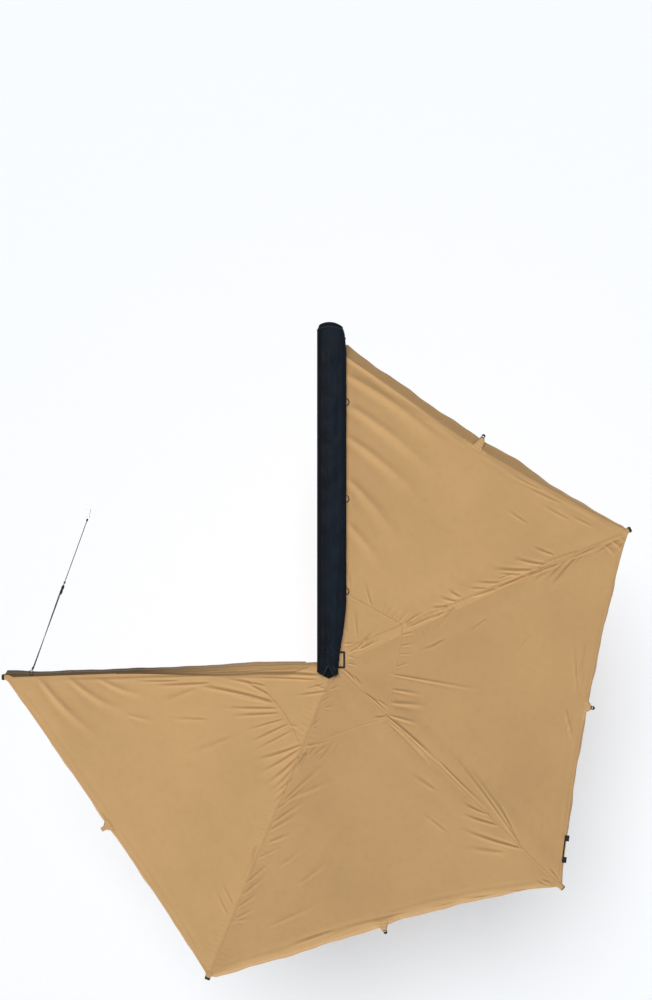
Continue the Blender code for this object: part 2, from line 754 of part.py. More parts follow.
def arm_tip_cap(length):
    """The end cap, with two cheeks inside the channel and the leg's cross pin between them."""
    half = ARM_WIDTH / 2 + CAP_OVERHANG
    face = rounded_box((-half, -ARM_DEPTH - CAP_OVERHANG), (half, -GAP), 0.005, 3)
    place = Matrix.Translation((length + GAP + CAP_THICKNESS / 2, WEB_CENTRE, 0))
    cap = moved(outline([face], CAP_THICKNESS), place @ ALONG_X)
    outer = ARM_WIDTH / 2 - ARM_WALL - GAP
    inner = LEG_LUG_THICKNESS / 2 + GAP
    top = -ARM_TOP_WALL - GAP
    pieces = []
    for way in (-1, 1):
        near, far = sorted((WEB_CENTRE + way * inner, WEB_CENTRE + way * outer))
        low = (length - CAP_PLUG, near, top - CAP_CHEEK_DEPTH)
        pieces.append(block(low, (length + CAP_THICKNESS / 2, far, top)))
    pivot = length - LEG_PIVOT_SETBACK
    reach = (outer + inner) / 2
    start = (pivot, WEB_CENTRE - reach, -LEG_DROP)
    pieces.append(rod(LEG_PIN_DIAMETER, start, (pivot, WEB_CENTRE + reach, -LEG_DROP), 14))
    return joined(cap, *pieces)


# Legs, in a frame on the leg's pivot: Z runs down the leg, Y across it
def leg_outer():
    """The upper tube, closed by a plug that carries the pivot lug."""
    outer = LEG_TUBE_DIAMETER / 2
    inner = outer - LEG_TUBE_WALL
    plug_end = LEG_TUBE_START + LEG_TUBE_DIAMETER
    chamfer = LEG_TUBE_WALL
    profile = [
        (0, LEG_TUBE_START),
        (outer - chamfer, LEG_TUBE_START),
        (outer, LEG_TUBE_START + chamfer),
        (outer, LEG_TUBE_END),
        (inner, LEG_TUBE_END),
        (inner, plug_end),
        (0, plug_end),
    ]
    body = turned(profile, 16, False)
    edge = LEG_TUBE_START + LEG_TUBE_DIAMETER / 4
    loop = arc((0, 0), LEG_LUG_RADIUS, 180, 360, 8)
    loop += [(LEG_LUG_RADIUS, edge), (-LEG_LUG_RADIUS, edge)]
    bore = circle((0, 0), LEG_PIN_DIAMETER / 2 + GAP, 14)
    eye = moved(outline([loop, bore], LEG_LUG_THICKNESS), SIDE_ON)
    return joined(body, eye)


def leg_inner():
    outer = LEG_INNER_DIAMETER / 2
    inner = outer - LEG_TUBE_WALL
    profile = [
        (outer, LEG_INNER_START),
        (outer, LEG_INNER_END),
        (inner, LEG_INNER_END),
        (inner, LEG_INNER_START),
    ]
    return turned(profile, 16, True)


def leg_collar():
    """The twist-lock collar over the end of the upper tube."""
    start = LEG_TUBE_END - COLLAR_GRIP
    end = start + COLLAR_LENGTH
    outer = COLLAR_DIAMETER / 2
    waist = outer - 0.0006
    wide_bore = LEG_TUBE_DIAMETER / 2 + GAP
    bore = LEG_INNER_DIAMETER / 2 + GAP
    stop = LEG_TUBE_END + GAP
    groove = start + COLLAR_LENGTH * 0.40
    profile = [
        (wide_bore, start),
        (waist, start),
        (outer, start + 0.003),
        (outer, groove),
        (waist, groove + 0.001),
        (waist, groove + 0.004),
        (outer, groove + 0.005),
        (outer, end - 0.004),
        (bore + 0.0015, end),
        (bore, end),
        (bore, stop),
        (wide_bore, stop),
    ]
    return turned(profile, 16, True)


def leg_foot():
    """A cup on the lower tube, on a plate with a peg hole in its tab."""
    bore = LEG_INNER_DIAMETER / 2 + GAP
    outer = bore + FOOT_CUP_WALL
    start = LEG_INNER_END - FOOT_CUP_DEPTH
    floor = LEG_INNER_END + GAP
    base = floor + FOOT_PLATE / 2
    profile = [(0, base), (outer, base), (outer, start), (bore, start), (bore, floor), (0, floor)]
    cup = turned(profile, 16, False)
    tab = FOOT_TAB - FOOT_RADIUS * 0.6
    loop = arc((0, 0), FOOT_RADIUS, -90, 90, 8)
    loop += arc((-tab, 0), FOOT_RADIUS * 0.6, 110, 250, 5)
    hole = circle((-tab, 0), PEG_HOLE / 2, 24)
    plate = outline([loop, hole], FOOT_PLATE)
    plate = moved(plate, Matrix.Translation((0, 0, floor + FOOT_PLATE / 2)))
    return joined(plate, cup)


# Canopy
def smooth(value):
    value = min(1, max(0, value))
    return value * value * (3 - 2 * value)


class Panel:
    """One wedge of the canopy, between a line on its left and a line on its right."""

    def __init__(self, index, left, right, left_lift):
        self.near = (left[0], right[0])
        self.far = (left[1], right[1])
        self.dip = EDGE_DIP[index]
        self.scallops = SCALLOP_LEFT[index], SCALLOP_RIGHT[index]
        self.flares = VALANCE_FLARE_LEFT[index], VALANCE_FLARE_RIGHT[index]
        self.flare_turn = FLARE_TURN[index]
        self.left_lift = left_lift
        self.chord = self.far[1] - self.far[0]
        outward = Vector((self.chord.y, -self.chord.x)).normalized()
        middle = (self.far[0] + self.far[1]) / 2
        self.outward = outward if outward.dot(middle - self.near[0]) > 0 else -outward

    def edge(self, across):
        """The outer edge: two shallow scallops that meet at the middle strap."""
        point = self.far[0] + self.chord * across
        half = abs(2 * across - 1)
        scallop = self.scallops[0 if across < 0.5 else 1]
        dip = self.dip * (1 - half) + scallop * 4 * half * (1 - half)
        return point - self.outward * dip

    def from_side(self, flat, side):
        """Distance in plan from one of the panel's two side lines."""
        line = (self.far[side] - self.near[side]).normalized()
        return abs((flat - self.near[side]).cross(line))

    def point(self, across, along):
        """A place on the underside. It is flat beside the arms and the case, and sags between."""
        near = self.near[0] + (self.near[1] - self.near[0]) * across
        flat = near + (self.edge(across) - near) * along
        left, right = self.from_side(flat, 0), self.from_side(flat, 1)
        lift = GAP + self.left_lift * (1 - smooth((left - FLAT_STRIP) / SAG_STRIP))
        sag = PANEL_SAG * math.sin(math.pi * across) * math.sin(math.pi * SAG_REACH * along**SAG_POWER)
        sag *= smooth((min(left, right) - FLAT_STRIP) / SAG_STRIP)
        return Vector((*flat, ARM_TOP + lift - sag))

    def flare(self, across):
        """How far the valance stands out: one reach near each corner, with a turn between them."""
        turned_over = smooth((across - self.flare_turn) / FLARE_TURN_WIDTH + 0.5)
        return self.flares[0] + (self.flares[1] - self.flares[0]) * turned_over

    def valance(self, across, share):
        """The band that hangs from the edge. It stops short of the arms at both corners."""
        width = self.chord.length
        clear = min(across, 1 - across) * width
        full = smooth((clear - ARM_STRIP) / ARM_STRIP)
        start = self.point(across, 1)
        corner = CORNER_SETBACK / 3 * share
        out = corner + (self.flare(across) * share - corner) * full
        down = VALANCE_DROP * share * full
        return start + Vector((*(self.outward * out), -down))

    def columns(self):
        near = ARM_STRIP / self.chord.length
        start = [0, near, 2 * near, *PANEL_COLUMNS]
        return start + [0.5] + [1 - place for place in reversed(start)]

    def rows(self):
        columns = self.columns()
        rows = [[self.point(a, along) for a in columns] for along in PANEL_ROWS]
        rows += [[self.valance(a, share) for a in columns] for share in VALANCE_ROWS]
        return rows

    def mesh(self):
        return shell(self.rows(), FABRIC)


def panels(frames):
    """The four wedges. Their edges lie over the arms' middles, a seam's gap apart."""
    lines = [None]
    for place, length in zip(frames[1:], ARM_LENGTHS):
        near = (place @ Vector((0, WEB_CENTRE, 0))).to_2d()
        far = (place @ Vector((length - CORNER_SETBACK, WEB_CENTRE, 0))).to_2d()
        lines.append((near, far))
    hub = meeting(lines[1], lines[2])
    case = (Vector((CANOPY_LINE, hub.y)), Vector((CANOPY_LINE, HUB.y + CASE_EDGE_LENGTH)))
    lines[0] = case
    made = []
    for number in range(ARM_COUNT):
        left = trimmed(lines[number], hub, -SEAM_GAP / 2)
        right = trimmed(lines[number + 1], hub, SEAM_GAP / 2)
        lift = TAPE_CLEARANCE_OVER_ARMS + TAPE_THICKNESS if number == 0 else 0
        made.append(Panel(number, left, right, lift))
    return made


def meeting(first, second):
    """Where two lines in plan cross."""
    a, b = first
    c, d = second
    along, other = b - a, d - c
    share = (c - a).cross(other) / along.cross(other)
    return a + along * share


def trimmed(line, hub, shift):
    """The line from the apex radius to its far end, shifted to its left."""
    along = (line[1] - line[0]).normalized()
    left = Vector((-along.y, along.x))
    foot = line[0] + along * (hub - line[0]).dot(along)
    return (foot + along * APEX_RADIUS + left * shift, line[1] + left * shift)


def end_valance(length):
    """The band along the last arm's outer side, in the arm's frame."""
    half = ARM_WIDTH / 2
    top = GAP
    drop = VALANCE_DROP
    section = [
        (-SEAM_GAP, top),
        (-half - 2 * GAP, top),
        (-half - 4 * FABRIC, top - 2 * FABRIC),
        (-half - END_VALANCE_FLARE * 0.6, top - drop * 0.5),
        (-half - END_VALANCE_FLARE, top - drop),
    ]
    rows = []
    span = length - CORNER_SETBACK - END_VALANCE_START
    for step in range(END_VALANCE_STEPS + 1):
        share = step / END_VALANCE_STEPS
        along = END_VALANCE_START + span * share
        bulge = END_VALANCE_BULGE * math.sin(math.pi * share) ** 2
        row = []
        for number, (across, height) in enumerate(section):
            push = bulge * max(0, number - 1) / 3
            row.append(Vector((along, WEB_CENTRE + across - push, height)))
        rows.append(row)
    return shell(rows, FABRIC)


def canopy_keder_tape():
    """The bead and web that hold the first panel in the extrusion's face groove."""
    side, _ = groove_centres()
    reach = EXTRUSION_DEPTH - side[0] + CANOPY_TAPE_REACH
    start = HUB.y + HUB_SETBACK + TAPE_END_INSET
    return tape(side, 0, reach, start, HUB.y + CASE_EDGE_LENGTH - TAPE_END_INSET)


def tape(groove, heading, reach, start, end):
    """A lollipop section in a groove: a round bead and a flat web that leaves it."""
    half = TAPE_THICKNESS / 2
    radius = BEAD_DIAMETER / 2
    angle = math.degrees(math.asin(half / radius))
    loop = arc((0, 0), radius, angle, 360 - angle, 12)
    loop += [(reach, -half), (reach, half)]
    mesh = outline([loop], end - start)
    turn = Matrix.Rotation(math.radians(heading), 4, "Z")
    middle = (start + end) / 2
    place = Matrix.Translation((EXTRUSION_BACK + groove[0], middle, EXTRUSION_LIFT + groove[1]))
    return moved(mesh, place @ SIDE_ON @ turn)


# Travel bag
def bag_keder_tape():
    _, top = groove_centres()
    reach = EXTRUSION_HEIGHT - top[1] + BAG_TAPE_REACH
    half = EXTRUSION_LENGTH / 2 - TAPE_END_INSET
    return tape(top, 90, reach, -half, half)


def bag_section(along):
    """The bag's outline at a place from 0, its open rear end, to 1, its closed front end."""
    floor = EXTRUSION_TOP + BAG_TAPE_REACH + GAP
    left = HUB.x - BAG_INBOARD
    right = HUB.x + BAG_OUTBOARD
    run = along * BAG_LENGTH
    mouth = smooth(run / BAG_MOUTH_TAPER)
    front = smooth((BAG_LENGTH - run) / BAG_FRONT_TAPER)
    right -= (1 - smooth(run / BAG_REAR_TAPER)) * BAG_REAR_TUCK
    right -= (1 - front) * (BAG_FRONT_TUCK - BAG_FRONT_BEVEL / 2)
    right -= (1 - min(1, (BAG_LENGTH - run) / BAG_FRONT_BEVEL_LENGTH)) * BAG_FRONT_BEVEL
    left += (1 - front) * BAG_FRONT_TUCK
    rise = BAG_RISE * (BAG_REAR_RISE + (1 - BAG_REAR_RISE) * mouth)
    rise *= BAG_FRONT_RISE + (1 - BAG_FRONT_RISE) * front
    ripple = BAG_RIPPLE * (math.sin(along * BAG_WAVES[0]) + 0.7 * math.sin(along * BAG_WAVES[1]))
    sag = BAG_SAG * smooth((run - BAG_SAG_START) / BAG_SAG_START)
    over = EXTRUSION_BACK - BAG_REST
    beyond = min(EXTRUSION_FACE + BAG_REST, right - 2 * BAG_REST)
    hem = max(beyond + BAG_SKIN, right - BAG_HEM_WIDTH)
    hem_drop = BAG_HEM_DROP * smooth((hem - beyond) / BAG_HEM_WIDTH)
    outboard = [(right - inset, floor + rise * share + ripple * share) for inset, share in BAG_OUTBOARD_SIDE]
    inboard = [(left + inset, floor + rise * share - ripple * share) for inset, share in BAG_INBOARD_SIDE]
    under = [(left + inset, floor - sag * share) for inset, share in BAG_UNDERSIDE]
    rest = (over - BAG_RISE / 2, floor - sag * BAG_UNDERSIDE[-1][1] / 3)
    return [(over, floor), (beyond, floor), (hem, floor - hem_drop), *outboard, *inboard, *under, rest]


def storage_bag():
    start = HUB.y - BAG_REAR_OVERHANG
    rows = []
    for along in BAG_STATIONS:
        y = start + BAG_LENGTH * along
        rows.append([Vector((x, y, z)) for x, z in bag_section(along)])
    return shell(rows, BAG_SKIN, closed_rows=True)


# Rings, straps and clips
def ring_with_tab(diameter, wire, tab_length):
    """A round ring in the XY plane, with a webbing tab that leaves it along -X."""
    middle = (diameter - wire) / 2
    radius = wire / 2
    section = [(middle + x, z) for x, z in circle((0, 0), radius, 8)]
    ring = turned(section, 18, True)
    half = RING_TAB_WIDTH / 2
    low = (-middle - tab_length, -half, -RING_TAB_THICKNESS / 2)
    tab = block(low, (-middle + radius / 2, half, RING_TAB_THICKNESS / 2))
    return joined(ring, tab)


def top_under(sheet, points):
    """The greatest height of a sheet's top under points in plan."""
    corners = [corner.co for corner in sheet.vertices]
    tree = BVHTree.FromPolygons(corners, [list(face.vertices) for face in sheet.polygons])
    heights = []
    for x, y in points:
        spot = tree.ray_cast(Vector((x, y, 1)), Vector((0, 0, -1)))[0]
        if spot:
            heights.append(spot.z)
    return max(heights)


def bag_ring(place, sheet):
    """A ring that lies on the first panel at the bag's outboard edge, its tab under the bag."""
    centre = (HUB.x + BAG_OUTBOARD - RING_UNDER_BAG, HUB.y + place)
    height = top_under(sheet, circle(centre, (RING_DIAMETER - RING_WIRE) / 2, 36))
    stand = Matrix.Translation((*centre, height + GAP + RING_WIRE / 2))
    return moved(ring_with_tab(RING_DIAMETER, RING_WIRE, RING_TAB_LENGTH), stand)


def strap_loop(sheet):
    """A rectangular loop that lies on the canopy beside the bag's rear end."""
    half = (LOOP_WIDTH / 2, LOOP_LENGTH / 2)
    inner = (half[0] - LOOP_BAR, half[1] - LOOP_BAR)
    loops = [
        rounded_box((-half[0], -half[1]), half, 0.006, 3),
        rounded_box((-inner[0], -inner[1]), inner, 0.002, 2),
    ]
    centre = (CANOPY_LINE + 4 * GAP + half[0], HUB.y + LOOP_PLACE)
    corners = [(centre[0] + x, centre[1] + y) for x, y in loops[0]]
    height = top_under(sheet, corners)
    place = Matrix.Translation((*centre, height + GAP + LOOP_THICKNESS / 2))
    return moved(outline(loops, LOOP_THICKNESS), place)


def edge_frame(panel, across, thickness):
    """A frame on top of a panel's outer edge: X along the edge, Y outward, Z square to the fabric."""
    columns = panel.columns()
    after = next(place for place, column in enumerate(columns) if column > across)
    low, high = columns[after - 1], columns[after]
    share = (across - low) / (high - low)
    here = panel.point(low, 1).lerp(panel.point(high, 1), share)
    inside = panel.point(low, PANEL_ROWS[-2]).lerp(panel.point(high, PANEL_ROWS[-2]), share)
    along = (panel.point(high, 1) - panel.point(low, 1)).normalized()
    up = along.cross(here - inside).normalized()
    axes = Matrix((along, up.cross(along), up)).transposed().to_4x4()
    return Matrix.Translation(here + up * (FABRIC + 2 * GAP + thickness / 2)) @ axes


def edge_clip(panel, sheet):
    """The tapered tab and slotted hook at the middle of a panel's outer edge."""
    reach = panel.flare(0.5) + CLIP_BEYOND
    base, half = CLIP_TAB_WIDTH / 2, CLIP_WIDTH / 2
    neck = reach - CLIP_HOOK
    side = [(base, -CLIP_INSET), (base, 0), (half, neck), (half, reach - half / 2), (half / 2, reach)]
    body = side + [(-x, y) for x, y in reversed(side)]
    low, high = (-half / 2, neck + CLIP_SLOT / 2), (half / 2, neck + CLIP_SLOT * 1.5)
    mesh = outline([body, rounded_box(low, high, CLIP_SLOT / 3, 2)], CLIP_THICKNESS)
    return seated(moved(mesh, edge_frame(panel, 0.5, CLIP_THICKNESS)), sheet)


def edge_buckle(panel, sheet):
    """The strap buckle near the second arm's tip: two blocks that a bar along the edge joins."""
    end, side = BUCKLE_LENGTH / 2, BUCKLE_WIDTH / 2
    inner = end - BUCKLE_BLOCK
    cut = BUCKLE_CHAMFER
    half = [
        (0, -side),
        (end - cut, -side),
        (end, cut - side),
        (end, side - cut),
        (end - cut, side),
        (inner, side),
        (inner, BUCKLE_BAR - side),
    ]
    loop = half + [(-x, y) for x, y in reversed(half[1:])]
    mesh = outline([loop], BUCKLE_THICKNESS)
    across = 1 - BUCKLE_FROM_TIP / panel.chord.length
    return seated(moved(mesh, edge_frame(panel, across, BUCKLE_THICKNESS)), sheet)


def seated(mesh, sheet):
    """Raises or lowers a mesh until it is two gaps clear of the sheet below it."""
    corners = [corner.co for corner in sheet.vertices]
    tree = BVHTree.FromPolygons(corners, [list(face.vertices) for face in sheet.polygons])
    clear = []
    for spot in (corner.co for corner in mesh.vertices):
        below = tree.ray_cast(Vector((spot.x, spot.y, 1)), Vector((0, 0, -1)))[0]
        if below:
            clear.append(spot.z - below.z)
    return moved(mesh, Matrix.Translation((0, 0, 2 * GAP - min(clear))))


# Guy line, in world space
def guy_start(place):
    """The centre of the ring on the last arm's outer edge."""
    height = GAP + FABRIC + GAP + GUY_RING_WIRE / 2
    return place @ Vector((ROPE_PLACE, WEB_CENTRE - ARM_WIDTH / 2 - GUY_RING_OFFSET, height))


def guy_ring(place):
    heading = math.degrees(place.to_euler().z) - 90
    mesh = ring_with_tab(GUY_RING_DIAMETER, GUY_RING_WIRE, GUY_TAB_LENGTH)
    return moved(mesh, frame(guy_start(place), heading))


def rope_point(place, share):
    """A place on the rope, from 0 at the arm to 1 at the hook."""
    start = guy_start(place)
    heading = math.radians(ROPE_HEADING)
    outward = Vector((math.cos(heading), math.sin(heading), 0))
    first = GUY_RING_DIAMETER / 2 + GAP
    along = first + (ROPE_LENGTH - first) * share
    rise = ROPE_RISE * share - ROPE_SAG * 4 * share * (1 - share)
    return start + outward * along + Vector((0, 0, rise))


def guy_rope(place):
    points = [rope_point(place, step / (ROPE_POINTS - 1)) for step in range(ROPE_POINTS)]
    return tube(points, ROPE_DIAMETER, 2)


def along_rope(place, share):
    """A frame on the rope with Z along it."""
    here = rope_point(place, share)
    ahead = rope_point(place, share + 0.001)
    turn = (ahead - here).to_track_quat("Z", "Y").to_matrix().to_4x4()
    return Matrix.Translation(here) @ turn


def guy_tensioner(place):
    """A barrel slider that the rope runs through."""
    half = SLIDER_LENGTH / 2
    outer, bore = SLIDER_DIAMETER / 2, ROPE_DIAMETER / 2 + 2 * GAP
    profile = [
        (bore, -half),
        (outer * 0.6, -half),
        (outer, -half * 0.6),
        (outer * 0.8, 0),
        (outer, half * 0.6),
        (outer * 0.6, half),
        (bore, half),
    ]
    return moved(turned(profile, 12, True), along_rope(place, SLIDER_PLACE))


def guy_hook(place):
    """A bent wire hook: an eye at the rope's end, a shank and an open bend."""
    gap = GAP + HOOK_WIRE / 2
    eye = arc((0, gap + HOOK_EYE), HOOK_EYE, 80, -250, 14)
    shank_end = gap + 2 * HOOK_EYE + 0.030
    bend = arc((HOOK_BEND, shank_end), HOOK_BEND, 180, -10, 10)
    flat = eye + bend
    points = [Vector((x, 0, y)) for x, y in flat]
    return moved(tube(points, HOOK_WIRE, 2), along_rope(place, 1))


# Assembly
def add(parts, materials, name, mesh, finish, parent=None, place=None):
    """Puts a finished mesh in the scene as a named part."""
    mesh.name = name
    mesh.materials.clear()
    mesh.materials.append(materials[finish])
    mesh.shade_smooth()
    mesh.set_sharp_from_angle(angle=math.radians(35))
    part = bpy.data.objects.new(name, mesh)
    parts.objects.link(part)
    part.parent = parent
    if place is not None:
        part.matrix_local = place
    return part


def empty(parts, name, place, parent=None):
    """A frame on a joint's axis that moving parts hang on."""
    made = bpy.data.objects.new(name, None)
    made.empty_display_size = 0.05
    parts.objects.link(made)
    made.parent = parent
    made.matrix_local = place
    return made


def add_case(parts, materials, frames):
    add(parts, materials, "backing_extrusion", backing_extrusion(), "anodised_aluminium")
    add(parts, materials, "extrusion_end_cap", extrusion_end_cap(), "black_plastic")
    for side, place in zip(("rear", "middle", "front"), BRACKET_PLACES):
        add(parts, materials, f"rack_bracket_{side}", rack_bracket(place), "zinc_steel")
    add(parts, materials, "hub_base_bracket", hub_base_bracket(), "cast_aluminium", None, frames[0])
    add(parts, materials, "canopy_keder_tape", canopy_keder_tape(), "black_webbing")
    add(parts, materials, "bag_keder_tape", bag_keder_tape(), "black_webbing")
    add(parts, materials, "storage_bag", storage_bag(), "bag_vinyl")


def add_arm(parts, materials, number, place):
    """One arm with its knuckle, pin, cap and leg. Each moving piece hangs on its joint's frame."""
    length = ARM_LENGTHS[number - 1]
    axis = empty(parts, f"arm_{number}_axis", place)
    add(parts, materials, f"hinge_pin_{number}", hinge_pin(), "zinc_steel", None, place)
    add(parts, materials, f"knuckle_{number}", knuckle(number == ARM_COUNT), "cast_aluminium", axis)
    add(parts, materials, f"arm_{number}", arm(length), "anodised_aluminium", axis)
    add(parts, materials, f"arm_tip_cap_{number}", arm_tip_cap(length), "black_plastic", axis)
    pivot = Matrix.Translation((length - LEG_PIVOT_SETBACK, WEB_CENTRE, -LEG_DROP)) @ LEG_TURN
    leg = empty(parts, f"leg_{number}_axis", pivot, axis)
    add(parts, materials, f"leg_outer_{number}", leg_outer(), "anodised_aluminium", leg)
    add(parts, materials, f"leg_collar_{number}", leg_collar(), "black_plastic", leg)
    add(parts, materials, f"leg_inner_{number}", leg_inner(), "anodised_aluminium", leg)
    add(parts, materials, f"leg_foot_{number}", leg_foot(), "rubber", leg)


def add_canopy(parts, materials, frames):
    wedges = panels(frames)
    for number, panel in enumerate(wedges, 1):
        sheet = panel.mesh()
        add(parts, materials, f"canopy_panel_{number}", sheet, "canopy_canvas")
        add(parts, materials, f"edge_clip_{number}", edge_clip(panel, sheet), "black_plastic")
    sheet = parts.objects["canopy_panel_2"].data
    add(parts, materials, "edge_buckle", edge_buckle(wedges[1], sheet), "black_plastic")
    band = end_valance(ARM_LENGTHS[-1])
    add(parts, materials, "end_valance", band, "canopy_canvas", None, frames[-1])
    sheet = parts.objects["canopy_panel_1"].data
    for number, place in enumerate(RING_PLACES, 1):
        add(parts, materials, f"bag_ring_{number}", bag_ring(place, sheet), "black_plastic")
    add(parts, materials, "strap_loop", strap_loop(sheet), "black_plastic")


def add_guy_line(parts, materials, place):
    add(parts, materials, "guy_ring", guy_ring(place), "zinc_steel")
    add(parts, materials, "guy_rope", guy_rope(place), "rope")
    add(parts, materials, "guy_tensioner", guy_tensioner(place), "black_plastic")
    add(parts, materials, "guy_hook", guy_hook(place), "zinc_steel")


def main():
    clear_scene()
    materials = new_materials()
    parts = new_collection("side_awning")
    frames = hub_frames()
    add_case(parts, materials, frames)
    for number, place in enumerate(frames[1:], 1):
        add_arm(parts, materials, number, place)
    add_canopy(parts, materials, frames)
    add_guy_line(parts, materials, frames[-1])


main()
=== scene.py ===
"""Looks of the vehicle side awning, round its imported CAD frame.

Metres, in the frame of the CAD: +Y to the vehicle's front, +X away from the vehicle, +Z up.
"""

import math

import bpy
import numpy as np
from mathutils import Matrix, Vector


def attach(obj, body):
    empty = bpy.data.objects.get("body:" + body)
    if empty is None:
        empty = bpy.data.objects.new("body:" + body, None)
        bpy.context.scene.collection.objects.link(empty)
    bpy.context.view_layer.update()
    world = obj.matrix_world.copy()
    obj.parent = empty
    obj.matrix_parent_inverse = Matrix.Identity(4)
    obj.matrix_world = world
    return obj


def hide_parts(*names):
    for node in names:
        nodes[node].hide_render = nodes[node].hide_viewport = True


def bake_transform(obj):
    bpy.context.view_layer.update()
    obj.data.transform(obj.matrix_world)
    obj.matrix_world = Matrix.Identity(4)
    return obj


# Sizes and places repeated from the CAD source
GAP = 0.0003
SEAM_GAP = 0.0004
HUB = (0.0723, -1.024, 0.0856)
HUB_PITCH = 0.036
HUB_CENTRE = (0.056, -1.050)
OPEN_ANGLES = (65.2, 69.1, 67.9, 65.8)
ARM_LENGTHS = (1.956, 1.912, 2.032, 1.999)
ARM_WIDTH = 0.028
WEB_CENTRE = -HUB_PITCH / 2
CANOPY_LINE = 0.0666
CASE_EDGE_LENGTH = 1.914
APEX_RADIUS = 0.016
CORNER_SETBACK = 0.012
FABRIC = 0.0015
CLOTH_TOP = HUB[2] + GAP + FABRIC
CASE_LIFT = 0.0022
PANEL_SAG = 0.022
SAG_REACH = 0.62
SAG_POWER = 1.3
FLAT_STRIP = 0.028
SAG_STRIP = 0.120
EDGE_DIP = (0.053, 0.040, 0.046, 0.004)
SCALLOP_LEFT = (0.005, 0.010, 0.030, 0.006)
SCALLOP_RIGHT = (0.001, 0.010, -0.010, 0.002)
VALANCE_DROP = 0.070
VALANCE_FLARE_LEFT = (0.056, 0.014, 0.010, 0.014)
VALANCE_FLARE_RIGHT = (0.016, 0.014, 0.036, 0.014)
FLARE_TURN = (0.70, 0.50, 0.15, 0.50)
FLARE_TURN_WIDTH = 0.26
CLIP_BEYOND = 0.030
ARM_STRIP = 0.020
END_VALANCE_START = 0.150
END_VALANCE_FLARE = 0.020
BUCKLE_FROM_TIP = 0.229
BAG_FLOOR = 0.1023
BAG_LENGTH = 2.165
BAG_START = HUB[1] - 0.099
BAG_LEFT = HUB[0] - 0.126
BAG_RIGHT = HUB[0] + 0.051
BAG_RISE = 0.046
BAG_FRONT_BEVEL_LENGTH = 0.180
BAG_FRONT_BEVEL = 0.016
BAG_SAG = 0.016
EXTRUSION_BACK = 0.0403
EXTRUSION_FACE = 0.0663
ROPE_DIAMETER = 0.005
ROPE_LENGTH = 1.000
ROPE_HEADING = 69.5
ROPE_PLACE = 1.825
ROPE_RISE = 0.035
ROPE_SAG = 0.012
SLIDER_PLACE = 0.53
GUY_RING_DIAMETER = 0.030
GUY_RING_WIRE = 0.004
GUY_RING_OFFSET = 0.012
RING_PLACES = (1.583, 0.993, 0.429)

# How far the sewn-on centre patch reaches from the hub at the case, then at each arm, how far its
# side dips towards the hub in panels 1 to 4, and where its side bends in panel 1
PATCH_REACH = (0.480, 0.452, 0.457, 0.550, 0.600)
PATCH_DIP = (0.000, 0.000, 0.008, 0.052)
PATCH_BEND = np.array((0.472, -0.798))
# Where the first seam runs, which isn't along its arm's middle: both its ends in plan
FIRST_SEAM = (0.094, -0.953), (1.848, -0.226)
# Each panel's ridge inside its outer edge, and how far the cloth rolls over there
EDGE_RIDGE = (0.0034, 0.0030, 0.0044, 0.0026)
EDGE_ROLL = (0.0075, 0.0085, 0.0140, 0.0060)
# How much of a roll the valance makes up for, and how high folds may stand over the arms
DEEPEST_ROLL = 0.020
HIGHEST_FOLD = 0.009
# How much of each clip's hook its canvas tab leaves bare
TAB_BARE = (0.026, 0.026, 0.026, 0.000)
# Where the tab starts, from the edge outwards
TAB_ROOT = -0.024
# How close to a seam the cloth is held flat, and over how much more it comes free
SEAM_HELD, SEAM_EASE = 0.009, 0.016
# Heights of the cloth's broad and fine unevenness, and of the gathers along its seams
BROAD_RIPPLE, FINE_RIPPLE = 0.0011, 0.00035
PUCKER_HEIGHT, PUCKER_SPACING = 0.0006, 0.031
# From which distance the cloth turns about its arm's pin and no longer about the hub
HUB_TURN, HUB_TURN_EASE = 0.08, 0.10
# Layers on top of the cloth: thickness, and how far the upper side stands above the cloth's
PATCH_LAYER = 0.0006, 0.0007
PATCH_HEM_LAYER = 0.0004, 0.0010
EDGE_HEM_LAYER = 0.0004, 0.0005
COVER_RAISED = 0.0012
TAPE_HALF_WIDTH = 0.0056
POCKET_REACH = 0.060
BAG_SKIN = 0.0016
# Spacing of the weave, its ripstop squares, the stitches and the teeth of the zip
THREADS, RIPSTOP, STITCHES, ZIP_TEETH = 0.0011, 0.0065, 0.0042, 0.0075
# The line's second strand: how far beside the first, and how much it turns in a metre
STRAND_ASIDE, STRAND_TWIST = 0.0053, 5.0
KNOT_CORD, KNOT_PITCH = 0.0019, 0.0036

